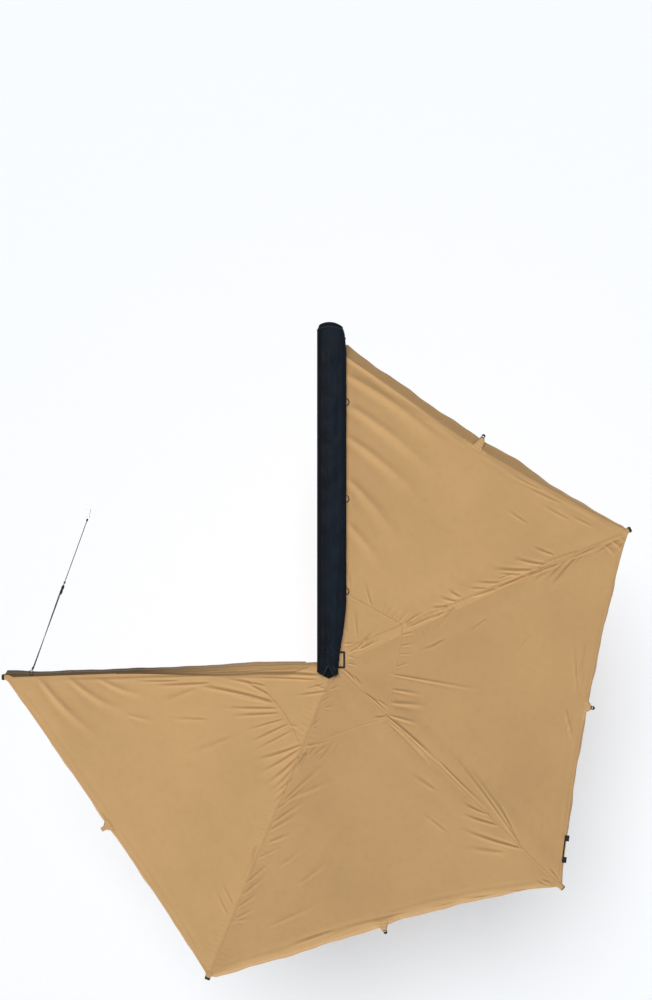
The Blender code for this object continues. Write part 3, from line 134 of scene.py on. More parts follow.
# Folds in the cloth, in mm: both ends in plan, half width, height in tenths, and any sideways bend.
# Each is sharp at its first end and fades out towards its second.
FOLDS = (
    # panel 1, along the outer edge and down from the case
    (132, 830, 861, 345, 20, 95), (132, 724, 761, 264, 34, 95, 30), (139, 544, 711, 77, 36, 88, 25),
    (139, 345, 612, -66, 34, 84, 20), (139, 89, 462, -321, 36, 76, 20), (139, -185, 375, -508, 34, 55, 15),
    (1303, 27, 1085, 145, 9, 45, 4), (1433, -60, 1159, 77, 9, 39, 4), (1222, -178, 1091, -85, 8, 39, 3),
    (1471, -153, 1309, -60, 8, 42, 3), (886, 363, 823, 313, 8, 50), (1620, -197, 1471, -122, 8, 36, 2),
    # both sides of the first arm
    (1382, -373, 1256, -322, 9, 67, 3), (1327, -433, 1130, -395, 10, 84, 4), (1246, -469, 998, -462, 11, 95, 4),
    (1190, -496, 1028, -484, 8, 62, 3), (1059, -545, 897, -540, 9, 50, 3), (978, -580, 856, -575, 8, 45, 3),
    (816, -631, 740, -585, 9, 67, 3), (791, -658, 689, -631, 9, 67, 3), (735, -686, 639, -696, 9, 78, 6),
    (1357, -443, 1210, -547, 9, 78, -3), (1403, -433, 1286, -547, 9, 67, -3),
    (1519, -393, 1372, -590, 10, 73, -5), (1575, -368, 1463, -524, 8, 50, -4),
    (1241, -484, 1099, -570, 9, 62, -3), (1038, -585, 902, -641, 9, 67, -3), (780, -701, 695, -828, 16, 76, -6),
    (715, -727, 619, -787, 9, 67), (720, -894, 568, -961, 9, 56, 8), (978, -767, 872, -853, 8, 45),
    (1246, -873, 1140, -1010, 8, 36), (1747, -302, 1635, -378, 7, 45), (1828, -292, 1752, -373, 7, 50),
    (1666, -322, 1524, -378, 7, 45),
    # valley beside the first seam
    (1312, -443, 1203, -544, 9, 73), (1398, -419, 1258, -556, 10, 84, -3), (1453, -422, 1337, -556, 9, 73, -3),
    (1520, -404, 1361, -599, 10, 78, -4), (1062, -556, 916, -635, 8, 56), (904, -626, 1075, -562, 11, 95),
    (1050, -574, 1288, -477, 10, 101), (1245, -498, 1520, -385, 10, 95), (1489, -398, 1697, -315, 7, 45),
    (513, -815, 757, -709, 9, 67, 3), (1062, -520, 1258, -443, 7, 50),
    # from the patch into the second panel
    (419, -1106, 978, -1207, 8, 67), (409, -1197, 593, -1227, 9, 67), (411, -1278, 624, -1293, 14, 80),
    (396, -1356, 573, -1405, 9, 67), (426, -1061, 523, -1025, 6, 39), (462, -863, 548, -843, 7, 50),
    (462, -929, 548, -914, 7, 39), (452, -980, 533, -980, 6, 34), (1559, -1192, 1580, -1030, 8, 34),
    (1514, -1475, 1559, -1354, 8, 39), (1635, -990, 1656, -899, 8, 36),
    # both sides of the second arm
    (381, -1365, 706, -1660, 10, 118, 6), (402, -1404, 659, -1666, 9, 101, 14),
    (700, -1643, 1009, -1946, 8, 62, -4), (1173, -2127, 753, -1573, 9, 50, -10),
    (1149, -2075, 881, -1684, 9, 45, -8), (1126, -2028, 998, -1818, 8, 39, -4),
    (1179, -2162, 811, -2045, 10, 106, 8), (1044, -2022, 817, -1952, 9, 84, 6),
    (992, -1958, 817, -1882, 9, 67, 5), (1079, -2191, 823, -2156, 14, 42, 6), (729, -2063, 578, -1946, 8, 36),
    (659, -1806, 496, -1701, 14, 38), (1348, -2395, 1272, -2360, 7, 45), (1254, -2425, 1056, -2436, 8, 50),
    (1033, -2460, 811, -2485, 8, 56), (846, -2501, 589, -2541, 9, 62), (496, -2565, 52, -2676, 9, 56),
    (41, -2676, -228, -2763, 9, 56),
    # around the patch
    (444, -787, 501, -710, 7, 62), (403, -767, 452, -689, 7, 50), (370, -747, 411, -689, 6, 42),
    (476, -804, 607, -722, 8, 84, 8), (276, -681, 231, -534, 8, 50), (342, -730, 370, -649, 6, 36),
    (146, -608, 138, -453, 9, 50), (203, -934, 297, -836, 9, 95), (207, -951, 342, -885, 9, 67),
    (146, -967, 231, -926, 7, 56), (138, -992, 191, -1008, 6, 42), (138, -1036, 191, -1049, 6, 42),
    (109, -1073, 215, -1188, 8, 73, 6), (174, -1114, 223, -1179, 6, 45), (76, -918, 191, -914, 7, 56),
    (187, -861, 174, -689, 10, 45), (125, -845, 117, -714, 9, 45), (240, -1220, 370, -1335, 8, 67, 6),
    (370, -1355, 289, -1375, 8, 78), (321, -1261, 387, -1310, 7, 50), (-5, -1310, 40, -1294, 6, 50),
    (-79, -1416, -38, -1379, 7, 62), (-18, -1269, 27, -1237, 6, 45), (27, -1196, 84, -1171, 6, 45),
    (68, -1106, 19, -1188, 8, 67), (-120, -1539, 44, -1498, 7, 56, -6), (-71, -1596, 27, -1522, 7, 50),
    (-46, -1637, 60, -1490, 8, 67, -6), (27, -1629, 93, -1490, 7, 45), (-218, -1416, -161, -1424, 7, 45),
    (-120, -1580, -193, -1710, 12, 106), (-54, -1326, -112, -1490, 6, 50, 4), (-5, -1208, -193, -1237, 8, 67),
    (-9, -1188, -79, -1163, 6, 50), (-18, -1163, -120, -1192, 6, 45),
    # from the patch into the last panel
    (-342, -1267, -839, -1165, 11, 118, -8), (-335, -1277, -615, -1221, 8, 67),
    (-314, -1312, -643, -1312, 9, 73), (-300, -1343, -601, -1361, 9, 73), (-363, -1221, -531, -1130, 9, 78),
    (-377, -1172, -643, -1123, 9, 67), (-272, -1382, -503, -1452, 8, 56), (-244, -1413, -475, -1529, 9, 78),
    (-216, -1452, -447, -1578, 8, 56), (-160, -1539, -447, -1634, 10, 90, 6),
    (-167, -1564, -419, -1718, 10, 84, 6), (-167, -1606, -377, -1788, 10, 95, 6),
    (-181, -1655, -349, -1844, 10, 78, 4), (-209, -1746, -335, -1858, 9, 62), (-251, -1816, -321, -1900, 8, 50),
    (-727, -1158, -1091, -1172, 10, 78, 4), (-909, -1144, -1231, -1144, 9, 56, 3),
    (-797, -1193, -1021, -1284, 18, 46), (-587, -1494, -895, -1620, 18, 29), (-727, -1382, -979, -1375, 10, 34),
    (-1736, -1144, -1358, -1508, 26, 88, -22), (-1554, -1137, -1203, -1340, 24, 80, -20),
    (-1372, -1137, -1063, -1242, 20, 63, -14), (-1203, -1354, -1035, -1396, 14, 38),
    (-433, -2159, -489, -2376, 9, 62), (-573, -2502, -643, -2362, 8, 39), (-601, -2572, -685, -2404, 8, 36),
    # right of the third arm
    (-104, -1599, -27, -1508, 8, 67), (-251, -1872, 1, -1648, 10, 84, 5), (-286, -1921, -104, -1781, 9, 84, 4),
    (-314, -2005, -125, -1879, 9, 84, 4), (-335, -2054, -167, -1956, 9, 67), (-349, -2131, -209, -2075, 9, 78),
    (-405, -2222, -265, -2152, 8, 45), (-482, -2376, -321, -2236, 9, 73), (-503, -2446, -349, -2320, 9, 62),
    (-531, -2523, -405, -2432, 8, 62), (-548, -2593, -433, -2530, 8, 62), (-153, -2383, 29, -2236, 12, 45),
    (-265, -2271, -125, -2152, 12, 45), (-237, -1872, 57, -1746, 12, 50), (-181, -2754, 71, -2663, 9, 45),
    (-335, -2642, -27, -2502, 12, 34), (-587, -2614, -447, -2593, 7, 36),
    # the valley beside the first seam, and creases at the corners
    (1843, -254, 1514, -376, 8, -50), (1538, -364, 1233, -495, 11, -120), (1337, -449, 928, -617, 11, -110, -3),
    (1746, -288, 1819, -349, 8, 84), (1703, -312, 1770, -379, 8, 73), (1782, -263, 1837, -300, 7, 73),
    (1581, -922, 1520, -1258, 9, 73), (1532, -1197, 1514, -892, 9, 62), (1465, -1331, 1514, -1532, 9, 73),
    (1502, -1367, 1441, -1514, 8, 62), (1416, -2356, 1355, -2282, 7, 67), (1386, -2380, 1306, -2356, 7, 67),
    # along the last arm, where its cloth rolls over
    (-72, -1108, -694, -1105, 13, 126, -8), (-84, -1136, -609, -1126, 9, 67, -6),
    (-707, -1111, -1866, -1142, 14, 46, 4),
)

# Folds in the bag, as above, with the distance from its rear end for Y, and no bend
BAG_FOLDS = (
    (10, 60, -4, 950, 16, -80), (-6, 800, -12, 2050, 18, -50), (46, 100, 60, 620, 12, 34),
    (-34, 100, -26, 900, 9, 20), (72, 450, 86, 1200, 9, 20), (74, 1100, 80, 1950, 10, -18),
    (-38, 1000, -34, 2000, 9, 20), (40, 1400, 60, 1720, 9, 18), (60, 360, 10, 480, 9, -30),
    (70, 520, 22, 620, 9, -22), (52, 60, 30, 160, 7, 34), (-40, 50, -10, 140, 7, 34),
    (88, 620, 40, 720, 8, 16), (100, 950, 45, 1080, 9, 16), (40, 1160, -20, 1300, 10, -24),
    (102, 1550, 50, 1480, 9, 15), (30, 1720, -30, 1620, 10, -24), (105, 1980, 40, 1860, 9, 16),
)

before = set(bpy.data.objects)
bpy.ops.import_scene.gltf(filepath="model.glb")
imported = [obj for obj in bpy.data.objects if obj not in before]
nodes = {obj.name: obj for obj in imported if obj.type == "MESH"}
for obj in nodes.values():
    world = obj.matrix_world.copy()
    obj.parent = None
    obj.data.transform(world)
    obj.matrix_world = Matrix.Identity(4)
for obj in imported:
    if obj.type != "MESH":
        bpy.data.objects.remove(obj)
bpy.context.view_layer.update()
bodies = ("root", "swing_arm_1", "swing_arm_2", "swing_arm_3", "swing_arm_4")


# Plane geometry
def smooth(value):
    value = np.clip(value, 0, 1)
    return value * value * (3 - 2 * value)


def norm(vectors):
    return np.linalg.norm(vectors, axis=-1)


def bell(value, at, wide):
    return np.exp(-(((value - at) / wide) ** 2))


def unit(vector):
    vector = np.asarray(vector, float)
    return vector / norm(vector)


def cross(a, b):
    return a[..., 0] * b[..., 1] - a[..., 1] * b[..., 0]


def grid(*parts):
    """The parts spread over one grid, side by side along a last axis."""
    return np.stack(np.broadcast_arrays(*parts), -1)


def raised_to(flat, height):
    return np.concatenate((flat, height[..., None]), -1)


def arm_frames():
    """The base's pin and heading, then each arm's, as the arms stand open."""
    places = [(np.array((HUB[0] - HUB_PITCH, HUB[1])), 90.0)]
    for opened in OPEN_ANGLES:
        pin, heading = places[-1]
        turn = math.radians(heading)
        pin = pin + HUB_PITCH * np.array((math.sin(turn), -math.cos(turn)))
        places.append((pin, heading - opened))
    return places


def on_arm(number, along, across):
    """A place in plan, from an arm's pin: along the arm, and to its left."""
    pin, heading = PINS[number]
    turn = math.radians(heading)
    way = np.array((math.cos(turn), math.sin(turn)))
    left = np.array((-way[1], way[0]))
    return pin + np.multiply.outer(along, way) + np.multiply.outer(across, left)


def trimmed(line, hub):
    """The line from the apex radius to its far end."""
    along = unit(line[1] - line[0])
    foot = line[0] + along * np.dot(hub - line[0], along)
    return foot + along * APEX_RADIUS, line[1]


def beside(flat, row):
    """Share of the way along a fold, distance to its left, half width and height."""
    x0, y0, x1, y1, half, high, *bend = row
    start = np.array((x0, y0)) / 1000
    length = norm(np.array((x1, y1)) / 1000 - start)
    way = (np.array((x1, y1)) / 1000 - start) / length
    share = ((flat - start) @ way) / length
    aside = cross(way, flat - start)
    if bend:
        aside = aside - bend[0] / 1000 * np.sin(math.pi * np.clip(share, 0, 1))
    return share, aside, half / 1000, high / 10000


def folds_height(flat):
    """Height of the cloth's folds over its smooth form: a ridge with a shallow trough beside it."""
    height = np.zeros(flat.shape[:-1])
    for row in FOLDS:
        share, aside, half, high = beside(flat, row)
        near = (share > -0.15) & (share < 1.1)
        share, aside = share[near], aside[near]
        spread = half * (0.60 + 0.6 * np.clip(share, 0, 1))
        ridge = np.exp(-(np.abs(aside / spread) ** 1.7))
        trough = bell(aside, -1.7 * spread, 1.3 * spread)
        fade = smooth((share + 0.10) / 0.22) * smooth((1.05 - share) / 0.75)
        height[near] += high * (ridge - 0.4 * trough) * fade
    return height


def raised_folds(flat):
    """The folds that stand proud, which also cross the arms. They die out at the corner pockets."""
    height = np.minimum(np.maximum(folds_height(flat), 0), HIGHEST_FOLD)
    for number in range(1, 5):
        tip = on_arm(number, ARM_LENGTHS[number - 1], WEB_CENTRE)
        height = height * smooth((norm(flat - tip) - 0.070) / 0.060)
    return height


def ripple(flat, spacing, seed):
    """A smooth uneven wave with about that spacing, from -1 to 1."""
    total = np.zeros(flat.shape[:-1])
    for step in range(5):
        turn = seed * 1.7 + step * 1.257
        wave = 2 * math.pi / (spacing * (0.7 + 0.17 * step))
        along = flat[..., 0] * math.cos(turn) + flat[..., 1] * math.sin(turn)
        total += np.sin(along * wave + seed * 3.1 + step * 2.3)
    return total / 5


def clockwise(points, pin, heading):
    off = points[..., :2] - pin
    angle = heading - np.arctan2(off[..., 1], off[..., 0])
    return (angle + math.pi) % (2 * math.pi) - math.pi


# Canopy
class Panel:
    """One wedge of the canopy, between a line on its left and a line on its right."""

    def __init__(self, number, left, right):
        self.number = number
        index = number - 1
        self.near, self.far = (left[0], right[0]), (left[1], right[1])
        self.chord = self.far[1] - self.far[0]
        self.width = norm(self.chord)
        outward = unit((self.chord[1], -self.chord[0]))
        middle = (self.far[0] + self.far[1]) / 2
        self.outward = outward if np.dot(outward, middle - self.near[0]) > 0 else -outward
        self.dip = EDGE_DIP[index]
        self.scallops = SCALLOP_LEFT[index], SCALLOP_RIGHT[index]
        self.flares = VALANCE_FLARE_LEFT[index], VALANCE_FLARE_RIGHT[index]
        self.lift = CASE_LIFT if number == 1 else 0

    def edge(self, across):
        """The outer edge: two shallow scallops that meet at the middle strap."""
        half = np.sqrt((2 * across - 1) ** 2 + 0.0010)
        scallop = np.where(across < 0.5, *self.scallops)
        dip = self.dip * (1 - half) + scallop * 4 * half * (1 - half)
        return self.far[0] + across[..., None] * self.chord - dip[..., None] * self.outward

    def flare(self, across):
        """How far the valance stands out at its foot."""
        turned_over = smooth((across - FLARE_TURN[self.number - 1]) / FLARE_TURN_WIDTH + 0.5)
        return self.flares[0] + (self.flares[1] - self.flares[0]) * turned_over

    def from_side(self, flat, side):
        return np.abs(cross(flat - self.near[side], unit(self.far[side] - self.near[side])))

    def ray(self, across):
        """Where the way out starts near the hub, and the way from there to the outer edge."""
        near = self.near[0] + across[..., None] * (self.near[1] - self.near[0])
        return near, self.edge(across) - near

    def plan(self, across, along):
        across, along = np.broadcast_arrays(across, along)
        near, ray = self.ray(across)
        return near + ray * along[..., None]

    def top(self, across, along):
        """A place on the cloth's upper side, with its folds."""
        across, along = np.broadcast_arrays(across, along)
        flat = self.plan(across, along)
        left, right = self.from_side(flat, 0), self.from_side(flat, 1)
        sides = np.minimum(left, right)
        lift = GAP + self.lift * (1 - smooth((left - FLAT_STRIP) / SAG_STRIP))
        sag = np.sin(math.pi * across) * np.sin(math.pi * SAG_REACH * along**SAG_POWER)
        sag = PANEL_SAG * sag * smooth((sides - FLAT_STRIP) / SAG_STRIP)
        free = smooth((sides - SEAM_HELD) / SEAM_EASE)
        over_arms = raised_folds(flat)
        folds = np.minimum(folds_height(flat), 0) + BROAD_RIPPLE * ripple(flat, 0.55, self.number)
        folds += FINE_RIPPLE * ripple(flat, 0.11, self.number + 7)
        folds += self.puckers(flat, sides) + self.edge_form(across, along)
        if self.number == 1:
            held = smooth((left - 0.022) / 0.050)
            for place in RING_PLACES:
                away = norm(flat - (BAG_RIGHT, HUB[1] + place))
                held = held * smooth((away - 0.026) / 0.040)
            free, over_arms = free * held, over_arms * held
        return raised_to(flat, HUB[2] + lift - sag + FABRIC + folds * free + over_arms)

    def height_at(self, flat):
        """The cloth's height at places in plan."""
        left, right = (unit(self.far[side] - self.near[side]) for side in (0, 1))
        a, b = cross(flat - self.near[0], left), cross(flat - self.near[1], right)
        across = np.clip(a / (a - b), 0, 1)
        step = 0.001
        for _ in range(4):
            near, ray = self.ray(across)
            off = cross(flat - near, ray) / norm(ray)
            side = (self.edge(across + step) - self.edge(across)) / step
            across = np.clip(across + off * -np.sign(cross(ray, side)) / norm(side), 0, 1)
        near, ray = self.ray(across)
        along = np.clip(((flat - near) * ray).sum(-1) / (ray**2).sum(-1), 0, 1)
        return self.top(across, along)[..., 2]

    def puckers(self, flat, sides):
        """Short gathers where the side seams pull on the cloth."""
        run = norm(flat - HUB_CENTRE)
        band = smooth((sides - 0.012) / 0.016) * (1 - smooth((sides - 0.030) / 0.050))
        uneven = 0.5 + 0.5 * np.sin(run * 9.1 + self.number)
        wave = np.sin(run * 2 * math.pi / PUCKER_SPACING + 2.2 * np.sin(run * 13 + self.number))
        return PUCKER_HEIGHT * band * uneven * wave

    def edge_form(self, across, along):
        """The hem pulls the cloth into a ridge inside the outer edge, and rolls it over outside that."""
        inside = (1 - along) * norm(self.edge(across) - self.near[0])
        ends = smooth(np.minimum(across, 1 - across) * self.width / 0.20)
        for share in (0.5, 1 - BUCKLE_FROM_TIP / self.width)[: 2 if self.number == 2 else 1]:
            ends = ends * smooth((np.abs(across - share) * self.width - 0.035) / 0.060)
        uneven = 0.75 + 0.25 * np.sin(across * 37 + self.number)
        ridge = bell(inside, 0.020, 0.012) - 0.7 * bell(inside, 0.055, 0.020)
        roll = smooth((0.045 - inside) / 0.040)
        return (EDGE_RIDGE[self.number - 1] * uneven * ridge - EDGE_ROLL[self.number - 1] * roll) * ends

    def valance(self, across, share):
        """The band that hangs from the edge. It stops short of the arms at both corners."""
        across, share = np.broadcast_arrays(across, share)
        clear = np.minimum(across, 1 - across) * self.width
        full = smooth((clear - ARM_STRIP) / ARM_STRIP)
        start = self.top(across, np.ones_like(across))
        corner = CORNER_SETBACK / 3 * share
        wavy = 0.0035 * share * np.sin(across * 31 + self.number) + 0.0016 * share * np.sin(across * 83)
        out = corner + (self.flare(across) * share + wavy - corner) * full
        sunk = np.clip(CLOTH_TOP - start[..., 2], 0, DEEPEST_ROLL)
        return start + raised_to(out[..., None] * self.outward, -(VALANCE_DROP - sunk) * share * full)

    def cloth_uv(self, points, drop=0):
        """Weave in metres, square to the outer edge. A hanging band goes on at its own length."""
        return grid(points[..., :2] @ unit(self.chord), points[..., :2] @ self.outward + drop)

    def patch_reach(self, across):
        """Share of the way from the hub at which the centre patch ends: straight lines in plan."""
        start, end = self.patch_corner(0), self.patch_corner(1)
        near, ray = self.ray(across)
        if self.number == 1:
            first = cross(start - near, PATCH_BEND - start) / cross(ray, PATCH_BEND - start)
            second = cross(PATCH_BEND - near, end - PATCH_BEND) / cross(ray, end - PATCH_BEND)
            straight = np.where((second > 0) & (second < first), second, first)
        else:
            straight = cross(start - near, end - start) / cross(ray, end - start)
        return straight - PATCH_DIP[self.number - 1] * 4 * across * (1 - across) / norm(ray)

    def patch_corner(self, side):
        way = unit(self.far[side] - self.near[side])
        return self.near[side] + way * (PATCH_REACH[self.number - 1 + side] - APEX_RADIUS)

    def weights(self, points):
        """Share of the next arm's swing that each point takes."""
        heading = math.radians(PINS[self.number - 1][1])
        angle = math.radians(OPEN_ANGLES[self.number - 1])
        share, about_hub = (
            np.clip(clockwise(points, centre, heading) / angle, 0, 1)
            for centre in (PINS[self.number][0], np.array(HUB_CENTRE))
        )
        mixed = smooth((norm(points[..., :2] - HUB_CENTRE) - HUB_TURN) / HUB_TURN_EASE)
        return about_hub * (1 - mixed) + share * mixed


def make_panels():
    lines = [None]
    for number, length in enumerate(ARM_LENGTHS, 1):
        lines.append([on_arm(number, run, WEB_CENTRE) for run in (0.0, length - CORNER_SETBACK)])
    (a, b), (c, d) = lines[1], lines[2]
    hub = a + (b - a) * cross(c - a, d - c) / cross(b - a, d - c)
    lines[0] = np.array((CANOPY_LINE, hub[1])), np.array((CANOPY_LINE, HUB[1] + CASE_EDGE_LENGTH))
    return [Panel(n, trimmed(lines[n - 1], hub), trimmed(lines[n], hub)) for n in range(1, 5)]


# Meshes
def added(name, data):
    thing = bpy.data.objects.new(name, data)
    bpy.context.scene.collection.objects.link(thing)
    return thing


def surface(name, points, uv, look, closed=False):
    """A grid of points as a smooth mesh. The uv has one more column than the points if it closes."""
    rows, columns = points.shape[:2]
    spans = columns if closed else columns - 1
    i, j = np.meshgrid(np.arange(rows - 1), np.arange(spans), indexing="ij")
    after = (j + 1) % columns
    faces = (i * columns + j, i * columns + after, (i + 1) * columns + after, (i + 1) * columns + j)
    mesh = bpy.data.meshes.new(name)
    mesh.from_pydata(points.reshape(-1, 3).tolist(), [], np.stack(faces, -1).reshape(-1, 4).tolist())
    mesh.polygons.foreach_set("use_smooth", [True] * len(mesh.polygons))
    corners = np.stack((uv[i, j], uv[i, j + 1], uv[i + 1, j + 1], uv[i + 1, j]), -2)
    mesh.uv_layers.new(name="weave").data.foreach_set("uv", corners.astype(np.float32).ravel())
    mesh.materials.append(looks[look])
    mesh.update()
    thing = added(name, mesh)
    return thing


def thicken(thing, thickness, offset=-1):
    """Thickness away from the surface that was made: below it, unless offset says otherwise."""
    change = thing.modifiers.new("thickness", "SOLIDIFY")
    change.thickness = thickness
    change.offset = offset
    change.use_even_offset = False
    return thing


def cloth(name, points, uv, look, thickness):
    """A piece of canvas with its faces turned up, and its thickness below them."""
    thing = surface(name, points, uv, look)
    if thing.data.polygons[0].normal.z < 0:
        thing.data.flip_normals()
    return thicken(thing, thickness)


def mesh_area(thing):
    return sum(face.area for face in thing.data.polygons)


def swept(name, path, radius, look, sides=12, closed=False, relief=None):
    """A round tube along a path, with an optional relief as a share of the radius."""
    path = np.asarray(path, float)
    ahead = np.roll(path, -1, 0) - np.roll(path, 1, 0)
    if not closed:
        ahead[0], ahead[-1] = path[1] - path[0], path[-1] - path[-2]
    ahead /= norm(ahead)[:, None]
    up = np.array((0.0, 0.0, 1.0)) if abs(ahead[0][2]) < 0.9 else np.array((1.0, 0.0, 0.0))
    run = np.concatenate(((0,), np.cumsum(norm(np.diff(path, axis=0)))))
    turns = np.linspace(0, 2 * math.pi, sides + 1)
    rows = []
    for place, way, along in zip(path, ahead, run):
        side = unit(np.cross(way, up))
        up = np.cross(side, way)
        reach = radius if relief is None else radius * relief(turns[:-1], along)
        ring = np.cos(turns[:-1])[:, None] * side + np.sin(turns[:-1])[:, None] * up
        rows.append(place + ring * np.broadcast_to(reach, sides)[:, None])
    points = np.array(rows)
    uv = grid(turns[None, :] * radius, run[:, None])
    if closed:
        points = np.concatenate((points, points[:1]))
        uv = np.concatenate((uv, uv[-1:] + (0, 0.001)))
    else:
        first, last = (np.repeat(end[:, None], sides, 1) for end in (path[:1], path[-1:]))
        points = np.concatenate((first, points, last))
        uv = np.concatenate((uv[:1], uv, uv[-1:]))
    thing = surface(name, points, uv, look, closed=True)
    thing.modifiers.new("weld", "WELD").merge_threshold = 0.00002
    return thing


def blended(thing, panel, weights=None):
    """Bakes the piece's placing into its mesh and works out each point's share of the next arm's swing, which
    nothing uses.
    """
    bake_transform(thing)
    count = len(thing.data.vertices)
    places = np.zeros(count * 3)
    thing.data.vertices.foreach_get("co", places)
    share = panel.weights(places.reshape(-1, 3)) if weights is None else np.full(count, weights)
    return thing


def weight_at(panel, share):
    """The weight of the place on the panel's outer edge at that share of its width."""
    return float(panel.weights(panel.edge(np.array([share])))[0])


# Materials
def add_node(tree, kind, inputs=(), **settings):
    """A node whose inputs are linked to other nodes' outputs, or set."""
    node = tree.nodes.new(kind)
    for name, value in settings.items():
        setattr(node, name, value)
    for socket, value in dict(inputs).items():
        if isinstance(value, bpy.types.NodeSocket):
            tree.links.new(value, node.inputs[socket])
        else:
            node.inputs[socket].default_value = value
    return node


def rgb(colour, change=1.0):
    return (*(part * change for part in colour), 1)


class Finish:
    """A node material: every texture is procedural, and constants sit on the shader itself."""

    def __init__(self, name, base, start, place="Object", metallic=0.0, **constants):
        self.material = bpy.data.materials.new(name)
        self.material.use_nodes = True
        self.tree = self.material.node_tree
        self.shader = self.tree.nodes["Principled BSDF"]
        self.shader.inputs["Metallic"].default_value = metallic
        for socket, value in constants.items():
            self.shader.inputs[socket.replace("_", " ")].default_value = value
        self.base = base
        self.colour = rgb(base, start)
        self.place = self.new("ShaderNodeTexCoord").outputs[place]
        self.normal = None

    def new(self, kind, inputs=(), **settings):
        return add_node(self.tree, kind, inputs, **settings)

    def stretched(self, scale, turn):
        """The place, scaled along each axis and turned about Z."""
        inputs = {"Vector": self.place, "Scale": scale, "Rotation": (0, 0, math.radians(turn))}
        return self.new("ShaderNodeMapping", inputs).outputs["Vector"]

    def noise(self, scale, detail=3.0, roughness=0.55, stretch=None, turn=0.0, distortion=0.0):
        place = self.stretched(stretch, turn) if stretch else self.place
        inputs = {"Vector": place, "Scale": scale, "Detail": detail, "Roughness": roughness}
        inputs["Distortion"] = distortion
        return self.new("ShaderNodeTexNoise", inputs).outputs["Fac"]

    def cells(self, scale, feature="F1"):
        inputs = {"Vector": self.place, "Scale": scale}
        return self.new("ShaderNodeTexVoronoi", inputs, feature=feature).outputs["Distance"]

    def bands(self, spacing, axis, turn=0.0):
        """Even bands from 0 to 1, that far apart in metres."""
        place = self.stretched((1, 1, 1), turn) if turn else self.place
        inputs = {"Vector": place, "Scale": math.pi / 10 / spacing}
        return self.new("ShaderNodeTexWave", inputs, wave_type="BANDS", bands_direction=axis).outputs["Fac"]

    def sharp(self, value, low, high, start=0.0, end=1.0):
        """The value, cut to a range and spread from start to end."""
        inputs = {"Value": value, "From Min": low, "From Max": high, "To Min": start, "To Max": end}
        return self.new("ShaderNodeMapRange", inputs).outputs["Result"]

    def sums(self, a, b, operation="ADD"):
        return self.new("ShaderNodeMath", {0: a, 1: b}, operation=operation).outputs[0]

    def x_of(self, place):
        return self.new("ShaderNodeSeparateXYZ", {0: place}).outputs["X"]

    def tint(self, other, value, low=0.0, high=1.0, most=1.0, start=0.0):
        """Mixes in a colour, or the base times a number, more of it as the value goes up its range."""
        other = other if isinstance(other, tuple) else rgb(self.base, other)
        inputs = {0: self.sharp(value, low, high, start, most), 6: self.colour, 7: other}
        self.colour = self.new("ShaderNodeMix", inputs, data_type="RGBA").outputs[2]

    def paint_shade_along_x(self, other, uneven, low, high, most):
        """Mixes in painted shade: that much below one place in X and none above another, with an uneven border.
        """
        place = self.x_of(self.new("ShaderNodeTexCoord").outputs["Object"])
        self.tint(other, self.sums(place, self.sums(uneven, 0.05, "MULTIPLY")), low, high, 0, most)

    def bump(self, height, distance, strength=1.0):
        inputs = {"Height": height, "Distance": distance, "Strength": strength}
        if self.normal is not None:
            inputs["Normal"] = self.normal
        self.normal = self.new("ShaderNodeBump", inputs).outputs["Normal"]

    def done(self, value, low, high, smoothest, roughest):
        """The material, with its roughness spread over the value's range."""
        roughness = self.sharp(value, low, high, smoothest, roughest)
        for socket, source in (("Base Color", self.colour), ("Roughness", roughness), ("Normal", self.normal)):
            self.tree.links.new(source, self.shader.inputs[socket])
        return self.material


def canvas(name, change, stitches=(), shade=None):
    """Ripstop canvas: fine weave, a faint square grid, mottled dye and slubs."""
    base = tuple(change * part for part in TAN)
    f = Finish(name, base, 0.93, "UV", Specular_IOR_Level=0.18, Sheen_Weight=0.10, Sheen_Roughness=0.5)
    broad, mottle = f.noise(1.6, 3), f.noise(22, 4, 0.6)
    f.tint(1.06, broad, 0.3, 0.7)
    f.tint(0.86, mottle, 0.50, 0.85, 0.45)
    f.tint(1.15, f.noise(60, 2, 0.6, stretch=(0.15, 6, 1)), 0.55, 0.85, 0.30)
    threads = [f.bands(THREADS, axis) for axis in "XY"]
    ribs = [f.sharp(f.bands(RIPSTOP, axis), 0.93, 1.0) for axis in "XY"]
    squares = f.sums(*ribs, "MAXIMUM")
    f.tint(0.80, squares, most=0.22)
    f.bump(f.sums(*threads, "MAXIMUM"), 0.00012, 0.5)
    f.bump(squares, 0.00015, 0.6)
    f.bump(f.noise(45, 4, 0.6), 0.0007, 0.35)
    if stitches:
        add_stitches(f, stitches)
    # Painted shade, darker along X, where a range for it is given
    if shade:
        f.paint_shade_along_x(0.16, broad, *shade)
    return f.done(mottle, 0.2, 0.8, 0.72, 0.88)


def add_stitches(f, rows):
    """Rows of stitches along V, at those places in U: a thread every few mm in a pressed-in line."""
    across = f.x_of(f.place)
    total = None
    for row in rows:
        off = f.sums(f.sums(across, row, "SUBTRACT"), 0.0, "ABSOLUTE")
        close = f.sharp(off, 0.0005, 0.0011, 1, 0)
        total = close if total is None else f.sums(total, close, "MAXIMUM")
    dashes = f.sums(total, f.sharp(f.bands(STITCHES, "Y"), 0.25, 0.45), "MULTIPLY")
    f.bump(total, -0.0004, 0.8)
    f.bump(dashes, 0.0005, 0.8)
    f.tint(0.66, dashes)


